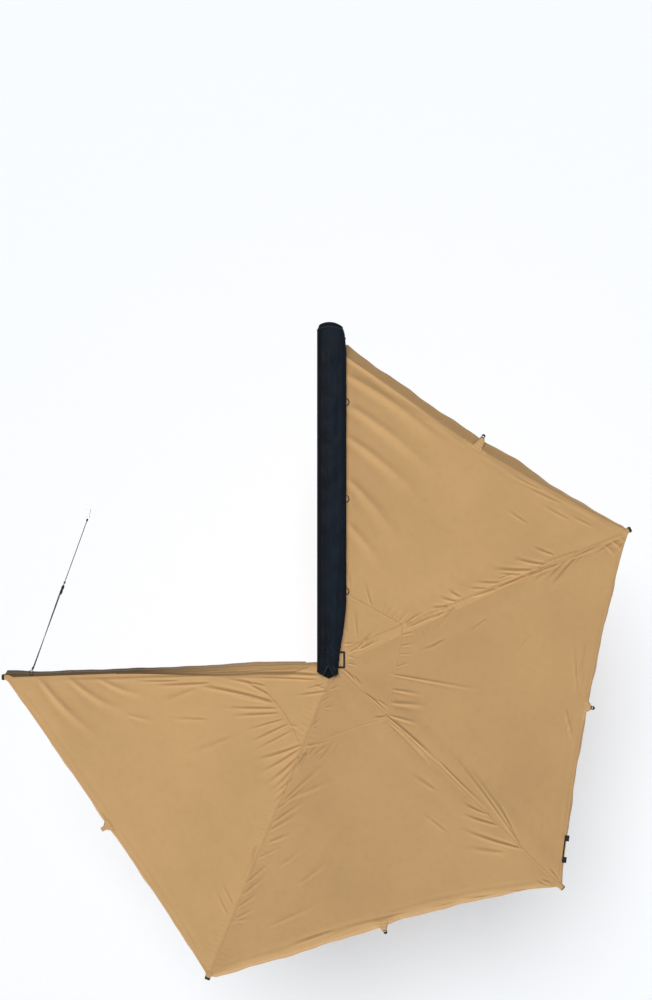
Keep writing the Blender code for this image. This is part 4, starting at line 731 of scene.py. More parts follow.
def vinyl(name, base, grain=900):
    """Coated heavy fabric: fine leathery grain, soft creases, paler streaks and dust, and painted shade on its
    inboard side.
    """
    f = Finish(name, base, 0.78, "UV", Specular_IOR_Level=0.07)
    cloud = f.noise(5.5, 4, 0.6)
    f.tint(1.30, cloud, 0.3, 0.7)
    # Painted shade: the inboard side of the bag, at low X, much darker
    f.paint_shade_along_x(0.25, cloud, -0.015, 0.045, 0.90)
    f.tint((0.020, 0.026, 0.034, 1), f.noise(38, 5, 0.7, stretch=(1, 0.35, 1)), 0.56, 0.80, 0.20)
    f.tint((0.032, 0.037, 0.043, 1), f.noise(26, 4, 0.75, stretch=(5, 0.4, 1), turn=14), 0.66, 0.80, 0.30)
    f.bump(f.cells(grain), 0.00012, 0.35)
    f.bump(f.noise(18, 5, 0.62, distortion=0.4), 0.0030, 0.42)
    f.bump(f.noise(95, 3, 0.6, stretch=(1, 0.3, 1)), 0.0005, 0.5)
    return f.done(cloud, 0.2, 0.8, 0.40, 0.58)


def webbing(name, base):
    """Woven strap: a herringbone of fine ribs, worn paler on its high threads."""
    f = Finish(name, base, 0.6, "UV", Specular_IOR_Level=0.25, Sheen_Weight=0.15, Sheen_Roughness=0.4)
    sides = {0: f.sharp(f.bands(0.012, "X"), 0.48, 0.52)}
    sides |= {2: f.bands(0.0017, "DIAGONAL"), 3: f.bands(0.0017, "DIAGONAL", 90)}
    weave = f.new("ShaderNodeMix", sides, data_type="FLOAT").outputs[0]
    fuzz = f.noise(240, 3, 0.7)
    f.tint(1.5, weave)
    f.tint(2.6, fuzz, 0.60, 0.85, 0.35)
    f.bump(weave, 0.0004, 0.9)
    return f.done(fuzz, 0.3, 0.7, 0.70, 0.92)


def rope_cover(name, base, fleck):
    """Braided cord: crossing strands, with paler tracer strands."""
    f = Finish(name, base, 0.5, "UV", Specular_IOR_Level=0.25, Sheen_Weight=0.2)
    braid = f.sums(f.bands(0.0021, "DIAGONAL"), f.bands(0.0021, "DIAGONAL", 90), "MAXIMUM")
    f.tint(1.5, braid)
    f.tint(fleck, f.bands(0.0085, "DIAGONAL"), 0.86, 0.94, 0.8)
    f.bump(braid, 0.0006, 0.9)
    return f.done(f.noise(300, 2), 0.3, 0.7, 0.65, 0.85)


def brushed_metal(name, base, grain=(1, 60, 60)):
    """Anodised extrusion: fine die lines along its length, handling marks, small scratches."""
    f = Finish(name, base, 0.88, metallic=1.0, Specular_IOR_Level=0.5)
    lines, cloud = f.noise(14, 4, 0.7, stretch=grain), f.noise(7, 3)
    scratches = f.noise(130, 2, 0.5, stretch=(1, 0.06, 0.5), turn=31)
    f.tint(1.08, lines, 0.35, 0.65)
    f.tint(0.72, cloud, 0.55, 0.80, 0.5)
    f.tint(1.30, scratches, 0.74, 0.80, 0.5)
    f.bump(lines, 0.0002, 0.35)
    f.bump(scratches, 0.0002, 0.2)
    return f.done(f.sums(lines, cloud), 0.7, 1.3, 0.26, 0.46)


def powder_coat(name, base):
    """Cast part under powder coat: orange peel, chips down to bright metal."""
    f = Finish(name, base, 0.8, Specular_IOR_Level=0.5, Coat_Weight=0.10, Coat_Roughness=0.3)
    cloud = f.noise(30, 4)
    chips = f.sharp(f.noise(150, 5, 0.75), 0.68, 0.72)
    f.tint(1.3, cloud, 0.3, 0.7)
    f.tint((0.36, 0.36, 0.35, 1), chips, most=0.8)
    f.bump(f.noise(420, 2, 0.5), 0.00025, 0.5)
    f.bump(chips, -0.0003, 0.6)
    return f.done(cloud, 0.2, 0.8, 0.42, 0.60)


def plated_steel(name, base):
    """Zinc plate: crystal cells of slightly different tone, dull spots."""
    f = Finish(name, base, 0.80, metallic=1.0, Specular_IOR_Level=0.5)
    spangle, dull = f.cells(160, "SMOOTH_F1"), f.noise(55, 4, 0.65)
    f.tint(1.12, spangle, 0.1, 0.6)
    f.tint((0.33, 0.31, 0.27, 1), dull, 0.60, 0.80, 0.5)
    f.bump(spangle, 0.0001, 0.3)
    return f.done(dull, 0.3, 0.75, 0.24, 0.52)


def moulded(name, base, roughness=(0.38, 0.58), texture=900):
    """Moulded plastic or rubber: spark-eroded texture, paler rubbed marks, dust."""
    f = Finish(name, base, 0.8, Specular_IOR_Level=0.22)
    cloud = f.noise(40, 4, 0.6)
    f.tint(1.4, cloud, 0.3, 0.7)
    f.tint((0.04, 0.04, 0.039, 1), f.noise(170, 5, 0.75, stretch=(1, 0.4, 1)), 0.62, 0.80, 0.4)
    f.bump(f.cells(texture), 0.00012, 0.5)
    f.bump(cloud, 0.0003, 0.2)
    return f.done(cloud, 0.2, 0.8, *roughness)


TAN = (0.540, 0.330, 0.146)
NAVY = (0.0046, 0.0078, 0.0130)
# The last arm's band, its hem, and the cloth gathered and folded beside it are painted shade, a darker copy of
# the canvas, darker still towards the tip: from and to which X, and how much
BAND_PAINTED_SHADE = (-1.10, -0.40, 0.92)
HEM_STITCHES = (0.0060,)
# Painted light and shade: each panel's canvas is a lighter or darker copy by how the light falls on it, darkest
# on panels 2 and 3
PANEL_PAINTED_SHADES = (0.985, 0.92, 0.90, 0.985)
looks = {f"canvas_{n}": canvas(f"canopy_canvas_{n}", tone) for n, tone in enumerate(PANEL_PAINTED_SHADES, 1)}
looks |= {
    # Painted shade: the band's canvas at 0.80 of the tone, darker still towards the tip
    "band_canvas_painted_shade": canvas("canopy_canvas_band", 0.80, shade=BAND_PAINTED_SHADE),
    "seam": canvas("seam_canvas", 0.96, (-0.0034, 0.0034)),
    "hem": canvas("hem_canvas", 0.98, HEM_STITCHES),
    # Painted shade on the band's hem, as on the band
    "band_hem_painted_shade": canvas("band_hem_canvas", 0.80, HEM_STITCHES, BAND_PAINTED_SHADE),
    "tab": canvas("tab_canvas", 1.03, (-0.011, 0.011)),
    "vinyl": vinyl("bag_vinyl", NAVY),
    # Painted shade inside the bag: its inner faces are near black
    "painted_inside_shade": vinyl("bag_inner_painted_shade", (0.0010, 0.0012, 0.0015), 500),
    "webbing": webbing("black_webbing", (0.016, 0.016, 0.018)),
    "bag_binding": webbing("bag_binding", (0.012, 0.015, 0.019)),
    "rope": rope_cover("guy_rope_cover", (0.012, 0.012, 0.013), (0.10, 0.105, 0.11, 1)),
    "anodised": brushed_metal("anodised_aluminium", (0.60, 0.61, 0.62)),
    "tube": brushed_metal("leg_tube_aluminium", (0.52, 0.53, 0.54), (20, 20, 1)),
    "cast": powder_coat("cast_aluminium", (0.035, 0.036, 0.039)),
    "zinc": plated_steel("zinc_steel", (0.62, 0.61, 0.58)),
    "plastic": moulded("black_plastic", (0.0045, 0.0045, 0.005)),
    "rubber": moulded("rubber", (0.024, 0.024, 0.024), (0.68, 0.88), 500),
    "ring": moulded("ring_coating", (0.022, 0.015, 0.010), (0.35, 0.55), 700),
}

# The looks of the CAD nodes that stay, by how their names start
CARRIED = {
    "anodised": ("backing_extrusion", "arm"),
    "tube": ("leg_outer", "leg_inner"),
    "cast": ("rack_bracket", "hub_base_bracket", "knuckle"),
    "zinc": ("hinge_pin", "guy_hook"),
    "ring": ("guy_ring", "bag_ring"),
    "plastic": ("extrusion_end_cap", "arm_tip_cap", "leg_collar", "guy_tensioner", "strap_loop"),
    "rubber": ("leg_foot",),
    "webbing": ("canopy_keder_tape", "bag_keder_tape"),
}


def dress_cad_nodes():
    look_of = {start: look for look, starts in CARRIED.items() for start in starts}
    for name, node in nodes.items():
        start = max((start for start in look_of if name.startswith(start)), key=len, default=None)
        if start:
            for slot in node.material_slots:
                slot.material = looks[look_of[start]]


# Camera, light and floor
def make_camera():
    """Straight above the awning, as in the photograph."""
    data = bpy.data.cameras.new("camera")
    data.lens = 47.2
    data.sensor_width = 36
    data.clip_end = 200
    camera = added("camera", data)
    camera.location = (0.001, -0.038, 8.086)
    bpy.context.scene.camera = camera


def make_light():
    """A low fill from the rear, a broad lamp above and to the front, and an even pale sky."""
    lamps = (
        ("rear_fill", 3.05, 30, (0.16, 0.90, -0.42), False),
        ("overhead", 1.70, 32, (0.19, -0.45, -1.0), True),
    )
    for name, energy, spread_angle, towards, shadow in lamps:
        data = bpy.data.lights.new(name, "SUN")
        data.energy = energy
        data.angle = math.radians(spread_angle)
        data.use_shadow = shadow
        added(name, data).rotation_euler = Vector(towards).to_track_quat("-Z", "Y").to_euler()
    world = bpy.data.worlds.new("sky")
    bpy.context.scene.world = world
    world.use_nodes = True
    tree = world.node_tree
    tree.nodes.clear()
    sky, white = (
        add_node(tree, "ShaderNodeBackground", {"Color": colour, "Strength": strength}).outputs[0]
        for colour, strength in (((0.93, 0.97, 1, 1), 0.14), ((1, 1, 1, 1), 1))
    )
    choice = add_node(tree, "ShaderNodeMixShader", {0: seen_directly(tree), 1: sky, 2: white})
    add_node(tree, "ShaderNodeOutputWorld", {0: choice.outputs[0]})


def seen_directly(tree):
    """1 for a ray from the camera, or one that a shiny or clear surface sends on."""
    path = add_node(tree, "ShaderNodeLightPath").outputs
    value = path["Is Camera Ray"]
    for other in ("Is Glossy Ray", "Is Transmission Ray"):
        value = add_node(tree, "ShaderNodeMath", {0: value, 1: path[other]}, operation="MAXIMUM").outputs[0]
    return value


def make_floor():
    """A plain white floor, two metres under the awning, that keeps its shadow."""
    half, z = 40.0, -2.05
    mesh = bpy.data.meshes.new("floor")
    corners = [(-half, -half, z), (half, -half, z), (half, half, z), (-half, half, z)]
    mesh.from_pydata(corners, [], [(0, 1, 2, 3)])
    floor = added("floor", mesh)
    material = bpy.data.materials.new("floor")
    material.use_nodes = True
    tree = material.node_tree
    shader = tree.nodes["Principled BSDF"]
    shader.inputs["Base Color"].default_value = (0.90, 0.92, 0.95, 1)
    shader.inputs["Roughness"].default_value = 0.9
    shader.inputs["Specular IOR Level"].default_value = 0
    plain, glow = (
        add_node(tree, "ShaderNodeEmission", {"Strength": strength}).outputs[0] for strength in (0, 0.03)
    )
    choice = add_node(tree, "ShaderNodeMixShader", {0: seen_directly(tree), 1: plain, 2: glow})
    total = add_node(tree, "ShaderNodeAddShader", {0: shader.outputs[0], 1: choice.outputs[0]})
    tree.links.new(total.outputs[0], tree.nodes["Material Output"].inputs["Surface"])
    mesh.materials.append(material)


# Guy line
def rope_places(shares):
    """The rope's middle line, from 0 at the arm's ring to 1 at the hook."""
    height = CLOTH_TOP + GAP + GUY_RING_WIRE / 2
    flat = on_arm(4, ROPE_PLACE, WEB_CENTRE - ARM_WIDTH / 2 - GUY_RING_OFFSET)
    turn = math.radians(ROPE_HEADING)
    first = GUY_RING_DIAMETER / 2 + GAP
    run = first + (ROPE_LENGTH - first) * shares
    rise = ROPE_RISE * shares - ROPE_SAG * 4 * shares * (1 - shares)
    return grid(flat[0] + run * math.cos(turn), flat[1] + run * math.sin(turn), height + rise)


def braid_relief(turns, along):
    return 0.93 + 0.07 * np.abs(np.sin(3 * turns + along * 900) * np.sin(3 * turns - along * 900))


def braided(name, path, radius, sides, relief=braid_relief):
    return swept(name, path, radius, "rope", sides, relief=relief)


def make_guy_line():
    path = rope_places(np.linspace(0, 1, 40))
    rope = braided("guy_rope_braid", rope_places(np.linspace(0, 1, 900)), ROPE_DIAMETER / 2, 14)
    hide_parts("guy_rope")
    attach(rope, "swing_arm_4")
    extras = [nodes["guy_tensioner"], nodes["guy_hook"], nodes["guy_ring"], second_strand()]
    extras.append(wrapped_knot("guy_ring_knot", 0.004, 4, 0.0044))
    extras.append(wrapped_knot("guy_hook_knot", 0.985, 5, 0.0040))
    extras.append(wrapped_knot("guy_slider_knot", SLIDER_PLACE + 0.043, 3, 0.0042))
    float(norm(np.diff(path, axis=0)).sum())


def wound(places, angle, radius):
    """The places moved out from their nearly straight line, at those angles round it."""
    ahead = unit(places[-1] - places[0])
    side = unit(np.cross(ahead, (0, 0, 1)))
    up = np.cross(side, ahead)
    return places + radius * (np.cos(angle)[:, None] * side + np.sin(angle)[:, None] * up)


def second_strand():
    """The line comes back from the ring to the slider, loosely twisted round its first run."""
    shares = np.linspace(0.006, SLIDER_PLACE - 0.027, 420)
    path = wound(rope_places(shares), 0.3 + STRAND_TWIST * shares, STRAND_ASIDE)
    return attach(braided("guy_rope_return", path, ROPE_DIAMETER / 2, 12), "swing_arm_4")


def wrapped_knot(name, share, turns, radius):
    """A few tight turns of cord round the rope."""
    step = np.linspace(0, 1, turns * 16 + 1)
    path = wound(rope_places(share + step * turns * KNOT_PITCH), step * turns * 2 * math.pi, radius)
    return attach(braided(name, path, KNOT_CORD, 8, None), "swing_arm_4")


# Canopy pieces
def spread(count, crowd):
    """Places from 0 to 1, closer together towards both ends."""
    even = np.linspace(0, 1, count)
    return (even * (1 - crowd) + crowd * (1 - np.cos(math.pi * even)) / 2)[None, :]


def canopy_panel(panel):
    across = spread(230, 0.55)
    along = np.concatenate(([0, 0.006], np.linspace(0.014, 0.980, 250), [0.985, 0.989, 0.993, 0.997, 1]))
    roof = panel.top(across, along[:, None])
    share = np.linspace(0, 1, 13)[1:]
    points = np.concatenate((roof, panel.valance(across, share[:, None])))
    drop = np.concatenate((np.zeros(len(along)), share * VALANCE_DROP * 0.6))
    uv = panel.cloth_uv(points, drop[:, None])
    thing = cloth(f"canopy_cloth_{panel.number}", points, uv, f"canvas_{panel.number}", FABRIC)
    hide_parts(f"canopy_panel_{panel.number}")
    length = float(norm(roof[-1] - roof[0]).max()) + VALANCE_DROP
    return blended(thing, panel), (panel.width, length)


def over_cloth(panel, name, across, along, layer, look, uv):
    """A piece sewn on top of the cloth."""
    points = panel.top(across, along)
    thickness, raised = layer
    points[..., 2] += raised
    return blended(cloth(name, points, uv, look, thickness), panel)


def hub_patch(panel):
    across = spread(110, 0.4)
    reach = panel.patch_reach(across)
    along = np.linspace(0.01, 1, 90)[:, None] * reach
    uv, look = panel.cloth_uv(panel.plan(across, along)), f"canvas_{panel.number}"
    patch = over_cloth(panel, f"hub_patch_{panel.number}", across, along, PATCH_LAYER, look, uv)
    inward = np.linspace(0, 0.012, 5)[:, None]
    along = reach - inward / norm(panel.edge(across) - panel.near[0])
    uv = grid(inward, across * panel.width * reach)
    hem = over_cloth(panel, f"hub_patch_hem_{panel.number}", across, along, PATCH_HEM_LAYER, "hem", uv)
    return [patch, hem]


def last_fold(panel):
    """The fold of spare cloth that lies against the last arm near the hub."""
    along = np.linspace(0.075, 0.66, 110)[:, None]
    share = np.linspace(0, 1, 25)[None, :]
    wide = 0.052 * smooth((along - 0.060) / 0.10) * (1 - smooth((along - 0.26) / 0.40)) + 0.0035
    across = 1 - share * wide / (panel.width * along)
    ridge = 0.0062 * bell(share, 0.84, 0.13)
    stripes = 0.0016 * np.sin(share * 17 + 3 * np.sin(along * 9)) * smooth(share / 0.2) * (1 - share)
    raised = 0.0016 + (ridge + stripes) * wide / 0.055
    uv = panel.cloth_uv(panel.plan(across, along))
    layer = PATCH_LAYER[0], raised
    return over_cloth(panel, "end_band_fold", across, along, layer, "band_canvas_painted_shade", uv)


def edge_hem(panel):
    """The stitched double hem along the outer edge, and its return on the valance."""
    inset = 0.010 / panel.width
    across = inset + spread(200, 0.4) * (1 - 2 * inset)
    width = np.linspace(0.0015, 0.0175, 5)[:, None]
    along = 1 - width / norm(panel.edge(across) - panel.near[0])
    uv = grid(width, across * panel.width)
    hem = over_cloth(panel, f"edge_hem_{panel.number}", across, along, EDGE_HEM_LAYER, "hem", uv)
    points = panel.valance(across, np.linspace(0.74, 1.0, 5)[:, None])
    points += (*(panel.outward * 0.0006), 0.0004)
    return [hem, blended(cloth(f"valance_hem_{panel.number}", points, uv, "hem", 0.0005), panel)]


def seam_tape(panel):
    """The felled seam near the panel's right arm, with its two rows of stitches."""
    number = panel.number
    start, end = np.array(FIRST_SEAM if number == 1 else (panel.near[1], panel.far[1]))
    way = unit(end - start)
    aside = np.array((-way[1], way[0]))
    run = np.linspace(0.034, norm(end - start) - 0.046, 300)[:, None]
    across = np.array((-1, -0.8, -0.35, 0, 0.35, 0.8, 1)) * TAPE_HALF_WIDTH
    raised = np.array((0, 0.0004, 0.0006, 0.0002, 0.0006, 0.0004, 0)) * (1 + 0.4 * np.sin(run * 140))
    middle = start + run * way
    flat = middle[:, None] + across[None, :, None] * aside
    under = panel.height_at(middle) if number == 1 else CLOTH_TOP + raised_folds(middle)
    uv = grid(across[None, :], run)
    points = raised_to(flat, under[:, None] + COVER_RAISED + raised)
    tape = cloth(f"seam_tape_{number}", points, uv, "seam", 0.0004)
    return blended(tape, panel) if number == 1 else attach(tape, bodies[number])


def end_band():
    """The cloth along the last arm's outer side, folded down over it."""
    run = np.linspace(END_VALANCE_START, ARM_LENGTHS[3] - CORNER_SETBACK, 190)
    half, drop, flare = ARM_WIDTH / 2, VALANCE_DROP, END_VALANCE_FLARE
    out = (SEAM_GAP, half + 2 * GAP, half + 4 * FABRIC, half + flare * 0.6, half + flare)
    share = np.linspace(0, 4, 33)
    out = np.interp(share, range(5), out)
    down = np.interp(share, range(5), (0, 0, 2 * FABRIC, drop * 0.5, drop))
    part = (run - run[0]) / (run[-1] - run[0])
    outer = np.clip(share - 1, 0, 3)[None, :] / 3
    wide = np.sin(math.pi * np.clip((run - 0.10) / 0.66, 0, 1)) ** 0.8
    wavy = 0.0030 * np.sin(run * 17) + 0.0014 * np.sin(run * 43 + 1)
    push = 0.004 * wide - 0.014 * (1 - 0.5 * wide) * np.minimum(1, 9 * (1 - part))
    push += 0.5 * wavy * np.minimum(1, 6 * part)
    run = run[:, None]
    creases = 0.0030 * np.sin(outer * 15 + 1.5 * np.sin(run * 8)) * wide[:, None] * outer
    flat = on_arm(4, run * np.ones(33), WEB_CENTRE - out[None, :] - push[:, None] * outer)
    points = raised_to(flat, CLOTH_TOP - down[None, :] + creases)
    steps = np.hypot(np.gradient(out), np.gradient(down))
    band = cloth("end_band_cloth", points, grid(np.cumsum(steps)[None, :], run), "band_canvas_painted_shade", FABRIC)
    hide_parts("end_valance")
    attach(band, "swing_arm_4")
    hem_points = points[:, -7:].copy()
    hem_points[..., :2] -= on_arm(4, 0.0, 0.0006) - on_arm(4, 0.0, 0.0)
    hem_uv = grid(np.linspace(0, 0.022, 7)[None, :], run)
    hem = surface("end_band_hem", hem_points, hem_uv, "band_hem_painted_shade")
    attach(thicken(hem, 0.0006, 0), "swing_arm_4")
    flat = float(steps.sum()), float(run[-1, 0] - run[0, 0])
    hub_sleeve()


def arm_cover(name, number, run, sections, look):
    """Cloth folded over an arm: at each place along it, a row of distances across and heights."""
    sections = np.asarray(sections)
    flat = on_arm(number, run[:, None] * np.ones(sections.shape[1]), WEB_CENTRE + sections[..., 0])
    girth = np.cumsum(norm(np.diff(sections, axis=1, prepend=sections[:, :1])), axis=1)
    points = raised_to(flat, HUB[2] + sections[..., 1])
    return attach(cloth(name, points, grid(girth, run[:, None]), look, 0.0009), bodies[number])


def hub_sleeve():
    """The gathered start of the band, over the last arm beside the hub."""
    run = np.linspace(0.048, END_VALANCE_START + 0.012, 60)
    half, top = ARM_WIDTH / 2, GAP + FABRIC + COVER_RAISED
    share = np.linspace(0, 1, 21)
    turns = (0, 0.40, 0.55, 1)
    across = np.interp(share, turns, (0.0005, half, half + 0.0040, half + 0.0085))
    drop = np.interp(share, turns, (0, 0, 0.004, 0.040))
    gather = 0.0008 * np.sin(run * 190)[:, None]
    sections = grid(-across[None, :], top + gather * share * (1 - share) * 4 - drop)
    return arm_cover("end_band_hub_gathers", 4, run, sections, "band_canvas_painted_shade")


def tip_pocket(number):
    """The canopy's corner pocket, pulled over the end of its arm."""
    length = ARM_LENGTHS[number - 1]
    open_part = np.linspace(length - POCKET_REACH, length - 0.026, 8)
    run = np.concatenate((open_part, np.linspace(length - 0.022, length + 0.001, 14)))
    closed = smooth((run - length + 0.020) / 0.010)[:, None]
    wide = (ARM_WIDTH / 2 + 0.0018) * (1 - 0.9 * smooth((length - 0.030 - run) / 0.032))[:, None]
    across = np.array((-1, -1, -0.96, -0.6, 0, 0.6, 0.96, 1, 1)) * wide
    drop = np.array((0.026, 0.010, 0.0016, 0.0004, 0, 0.0004, 0.0016, 0.010, 0.026)) * closed
    sections = grid(across, GAP + FABRIC + COVER_RAISED - 0.0008 * closed - drop)
    pocket = arm_cover(f"corner_pocket_{number}", number, run, sections, f"canvas_{number}")
    mouth = sections[-1] * (1.04, 1) + (0, 0.0008)
    run = np.linspace(length - 0.007, length + 0.0015, 6)
    look = "hem" if number == 2 else "webbing"
    return [pocket, arm_cover(f"corner_binding_{number}", number, run, [mouth] * 6, look)]


def make_canopy():
    for panel in panels:
        number = panel.number
        thing, flat = canopy_panel(panel)
        pieces = hub_patch(panel) + edge_hem(panel)
        pieces.append(seam_tape(panel) if number < 4 else last_fold(panel))
        pieces += tip_pocket(number) + edge_strap(panel)
        area = mesh_area(thing)
    end_band()


def edge_strap(panel):
    """The hooked clip at the middle of the outer edge with its tab, and the second panel's buckle."""
    number = panel.number
    made = [copied(f"edge_clip_{number}", f"edge_hook_{number}", panel, 0.5), clip_tab(panel)]
    if number == 2:
        made.append(copied("edge_buckle", "edge_buckle_frame", panel, 1 - BUCKLE_FROM_TIP / panel.width))
    return made


def clip_tab(panel):
    """The folded canvas tab that is sewn over the clip's root and leaves its hook bare."""
    middle = panel.edge(np.array([0.5]))[0]
    along, out = unit(panel.chord), panel.outward
    corners = np.array([corner.co for corner in nodes[f"edge_clip_{panel.number}"].data.vertices])
    flat = corners[:, :2] - middle
    terms = np.stack((flat @ along, flat @ out, np.ones(len(flat))), -1)
    slope, _, _, _ = np.linalg.lstsq(terms, corners[:, 2], rcond=None)
    top = (corners[:, 2] - terms @ slope).max() + 0.0008
    reach = float(panel.flare(np.array(0.5))) + CLIP_BEYOND
    v = np.linspace(TAB_ROOT, reach - TAB_BARE[panel.number - 1], 24)[:, None] * np.ones(15)
    half = np.interp(v[:, 0], (TAB_ROOT, 0, reach - 0.022, reach), (0.036, 0.034, 0.0145, 0.0135))
    share = np.linspace(-1, 1, 15)[None, :]
    u = half[:, None] * share
    height = u * slope[0] + v * slope[1] + slope[2] + top
    height -= 0.0060 * smooth((np.abs(share) - 0.80) / 0.20) * smooth((v + 0.006) / 0.010)
    height += 0.0006 * np.sin(v * 330 + share * 2)
    points = raised_to(middle + u[..., None] * along + v[..., None] * out, height)
    tab = cloth(f"clip_tab_{panel.number}", points, grid(u, v), "tab", 0.0007)
    return blended(tab, panel, weight_at(panel, 0.5))


def copied(node, name, panel, share):
    """A CAD solid's own form with its edges rounded, on the cloth that it is sewn to."""
    thing = added(name, nodes[node].data.copy())
    thing.data.materials.clear()
    thing.data.materials.append(looks["plastic"])
    bevel = thing.modifiers.new("edges", "BEVEL")
    bevel.width = 0.0007
    bevel.segments = 3
    bevel.limit_method = "ANGLE"
    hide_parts(node)
    return blended(thing, panel, weight_at(panel, share))


# Travel bag
def bag_outline(run):
    """The bag's outline across, at a distance from its open rear end: X and Z."""
    floor = BAG_FLOOR
    mouth, front = float(smooth(run / 0.200)), float(smooth((BAG_LENGTH - run) / 0.030))
    right = BAG_RIGHT - (1 - float(smooth(run / 0.500))) * 0.048 - (1 - front) * 0.004
    right -= (1 - min(1, (BAG_LENGTH - run) / BAG_FRONT_BEVEL_LENGTH)) * BAG_FRONT_BEVEL
    left = BAG_LEFT + (1 - front) * 0.012
    rise = BAG_RISE * (0.72 + 0.28 * mouth) * (0.75 + 0.25 * front)
    along = run / BAG_LENGTH
    wave = 0.0025 * (math.sin(along * 41) + 0.7 * math.sin(along * 97))
    sag = BAG_SAG * float(smooth((run - 0.070) / 0.070))
    over = EXTRUSION_BACK - 0.005
    beyond = min(EXTRUSION_FACE + 0.005, right - 0.010)
    hem = max(beyond + 0.0018, right - 0.022)
    hem_drop = 0.004 * float(smooth((hem - beyond) / 0.022))
    outboard = ((0.006, 0.02), (0, 0.34), (0.004, 0.68), (0.018, 0.92), (0.055, 1))
    inboard = ((0.070, 0.98), (0.030, 0.88), (0.008, 0.62), (0, 0.20))
    keys = [(over, floor), (beyond, floor), (hem, floor - hem_drop)]
    keys += [(right - inset, floor + (rise + wave) * share) for inset, share in outboard]
    keys += [(left + inset, floor + (rise - wave) * share) for inset, share in inboard]
    keys += [(left + 0.010, floor - sag), (left + 0.040, floor - sag * 1.1)]
    keys.append((over - BAG_RISE / 2, floor - sag * 1.1 / 3))
    return np.array(keys)


def loop_through(keys, count):
    """A closed curve through the keys, at even steps of the key number: mostly smooth, partly straight."""
    size = len(keys)
    at = np.linspace(0, size, count, endpoint=False)
    before = np.floor(at).astype(int)
    t = (at - before)[:, None]
    a, b, c, d = (keys[(before + shift) % size] for shift in (-1, 0, 1, 2))
    rounded = 0.5 * (2 * b + (c - a) * t + (2 * a - 5 * b + 4 * c - d) * t**2 + (3 * b - a - 3 * c + d) * t**3)
    return 0.72 * rounded + 0.28 * (b + (c - b) * t)


def bag_points(runs, count):
    """The bag's skin: rows along it, columns round it, with its creases and the crumpled mouth."""
    section = np.array([loop_through(bag_outline(float(run)), count) for run in runs])
    middle = section.mean(1, keepdims=True)
    around = np.arctan2(section[..., 1] - middle[..., 1], section[..., 0] - middle[..., 0])
    upper = smooth((section[..., 1] - BAG_FLOOR - 0.010) / 0.014)
    run = np.broadcast_to(np.asarray(runs)[:, None], upper.shape)
    sheet = grid(section[..., 0], run)
    crease = 0.0016 * ripple(sheet * (1, 0.35), 0.060, 3) + 0.0010 * ripple(sheet, 0.045, 5) + bag_folds(sheet)
    crumple = 0.0060 * ripple(sheet, 0.055, 11) + 0.0032 * ripple(sheet, 0.026, 2)
    crumple *= 1 - smooth((run - 0.02) / 0.30)
    push = np.clip(crease + crumple, -0.012, 0.0060) * upper
    section = section + grid(np.cos(around), np.sin(around)) * push[..., None]
    x = section[..., 0]
    loose = 1 - smooth(run / 0.28)
    pointed = 0.036 * np.clip(np.abs(x - 0.019) / 0.065, 0, 1.2) ** 1.3
    notch = 0.078 * bell(x, 0.016, 0.023) * upper
    lip = 0.010 * bell(x, 0.014, 0.034) * (1 - smooth(run / 0.09)) * upper
    blunt = 0.030 * np.clip((x - 0.020) / 0.085, -1, 1) ** 2 * smooth((run - BAG_LENGTH + 0.12) / 0.12)
    return grid(x, BAG_START + run + (pointed + notch) * loose - blunt, section[..., 1] + lip)


def bag_folds(sheet):
    height = np.zeros(sheet.shape[:-1])
    for row in BAG_FOLDS:
        share, aside, half, high = beside(sheet, row)
        fade = smooth((share + 0.1) / 0.3) * smooth((1.1 - share) / 0.3)
        height += high * bell(aside, 0, half) * fade
    return height


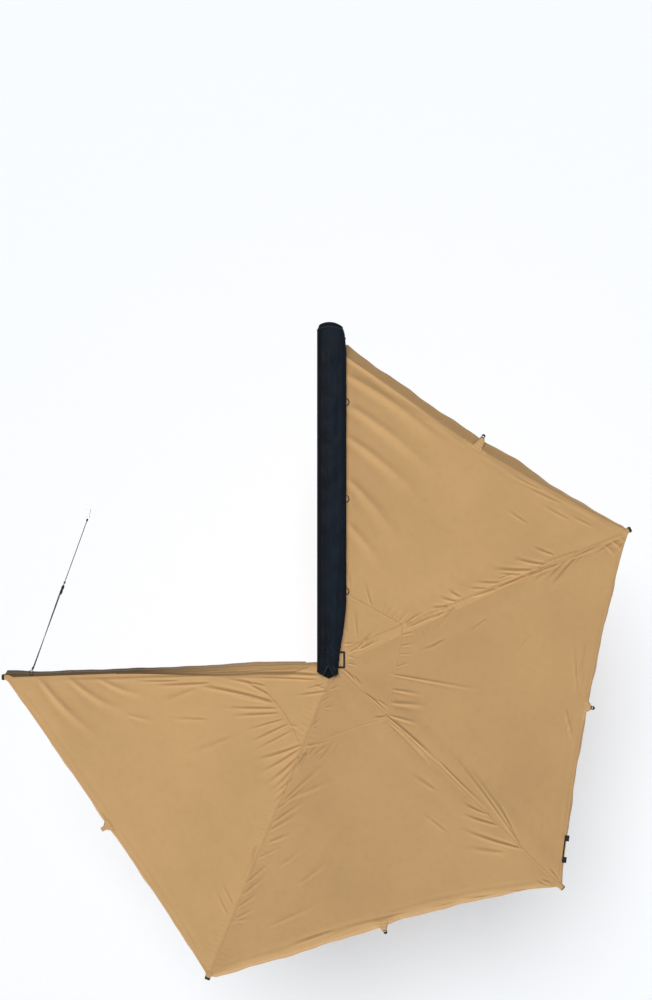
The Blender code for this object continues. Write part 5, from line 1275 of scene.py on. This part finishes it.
def make_bag():
    front = BAG_LENGTH - np.array((0.028, 0.022, 0.016, 0.011, 0.007, 0.004, 0.0015, 0))
    runs = np.concatenate((np.linspace(0, 0.40, 90), np.linspace(0.408, BAG_LENGTH - 0.034, 220), front))
    points = bag_points(runs, 112)
    girth = norm(np.diff(points[100], axis=0, append=points[100][:1]))
    girth = np.concatenate(((0,), np.cumsum(girth)))
    bag_trim(points, runs, girth)
    middle = points[-1].mean(0)
    shrinks = np.array((0.93, 0.8, 0.6, 0.4, 0.2, 0.02))
    caps = middle + (points[-1] - middle) * shrinks[:, None, None] + (0, 0.0004, 0)
    length = np.concatenate((runs, runs[-1] + 0.05 * (1 - shrinks)))
    uv = grid(girth[None, :], length[:, None])
    bag = surface("travel_bag_shell", np.concatenate((points, caps)), uv, "vinyl", closed=True)
    bag.data.flip_normals()
    # The inner faces take the near-black painted shade
    bag.data.materials.append(looks["painted_inside_shade"])
    thicken(bag, BAG_SKIN).modifiers[0].material_offset = 1
    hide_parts("storage_bag")
    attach(bag, "root")


def bag_trim(points, runs, girth):
    """The rain flap over the zip, the zip with its pull, and the bound edges of the rear opening."""
    per_key = points.shape[1] / 15
    low, high = round(3.75 * per_key), round(4.75 * per_key)
    inside = slice(8, -9)
    flap = points[inside, low:high]
    away = flap - (flap.mean(1, keepdims=True) - (0.030, 0, 0.018))
    away[..., 1] = 0
    flap = flap + 0.0018 * away / norm(away)[..., None]
    uv = grid(girth[None, low:high], runs[inside, None])
    flap = surface("bag_zip_flap", flap, uv, "bag_binding")
    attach(thicken(flap, 0.0012, 0), "root")
    path = points[inside, round(3.35 * per_key)] + (0.0012, 0, 0)
    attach(swept("bag_zip_teeth", path, 0.0024, "plastic", 10, relief=zip_relief), "root")
    step = np.linspace(0, 1, 30)
    pull = grid(0.004 + 0.004 * np.sin(step * 3), -0.004 - 0.004 * step, -0.040 * step) + path[-6]
    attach(braided("bag_zip_pull", pull, 0.0026, 12), "root")
    front_fold = points[round(0.985 * len(runs)) - 3]
    edges = ("bag_mouth_binding", points[0], 0.0024), ("bag_front_piping", front_fold, 0.0022)
    for name, path, radius in edges:
        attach(swept(name, path, radius, "bag_binding", 10, closed=True), "root")


def zip_relief(turns, along):
    return 0.80 + 0.20 * (math.sin(along * 2 * math.pi / ZIP_TEETH) > 0) + 0 * turns


PINS = arm_frames()
panels = make_panels()
make_camera()
make_guy_line()
make_light()
make_floor()
dress_cad_nodes()
make_canopy()
make_bag()

bpy.context.scene.view_settings.view_transform = "Standard"
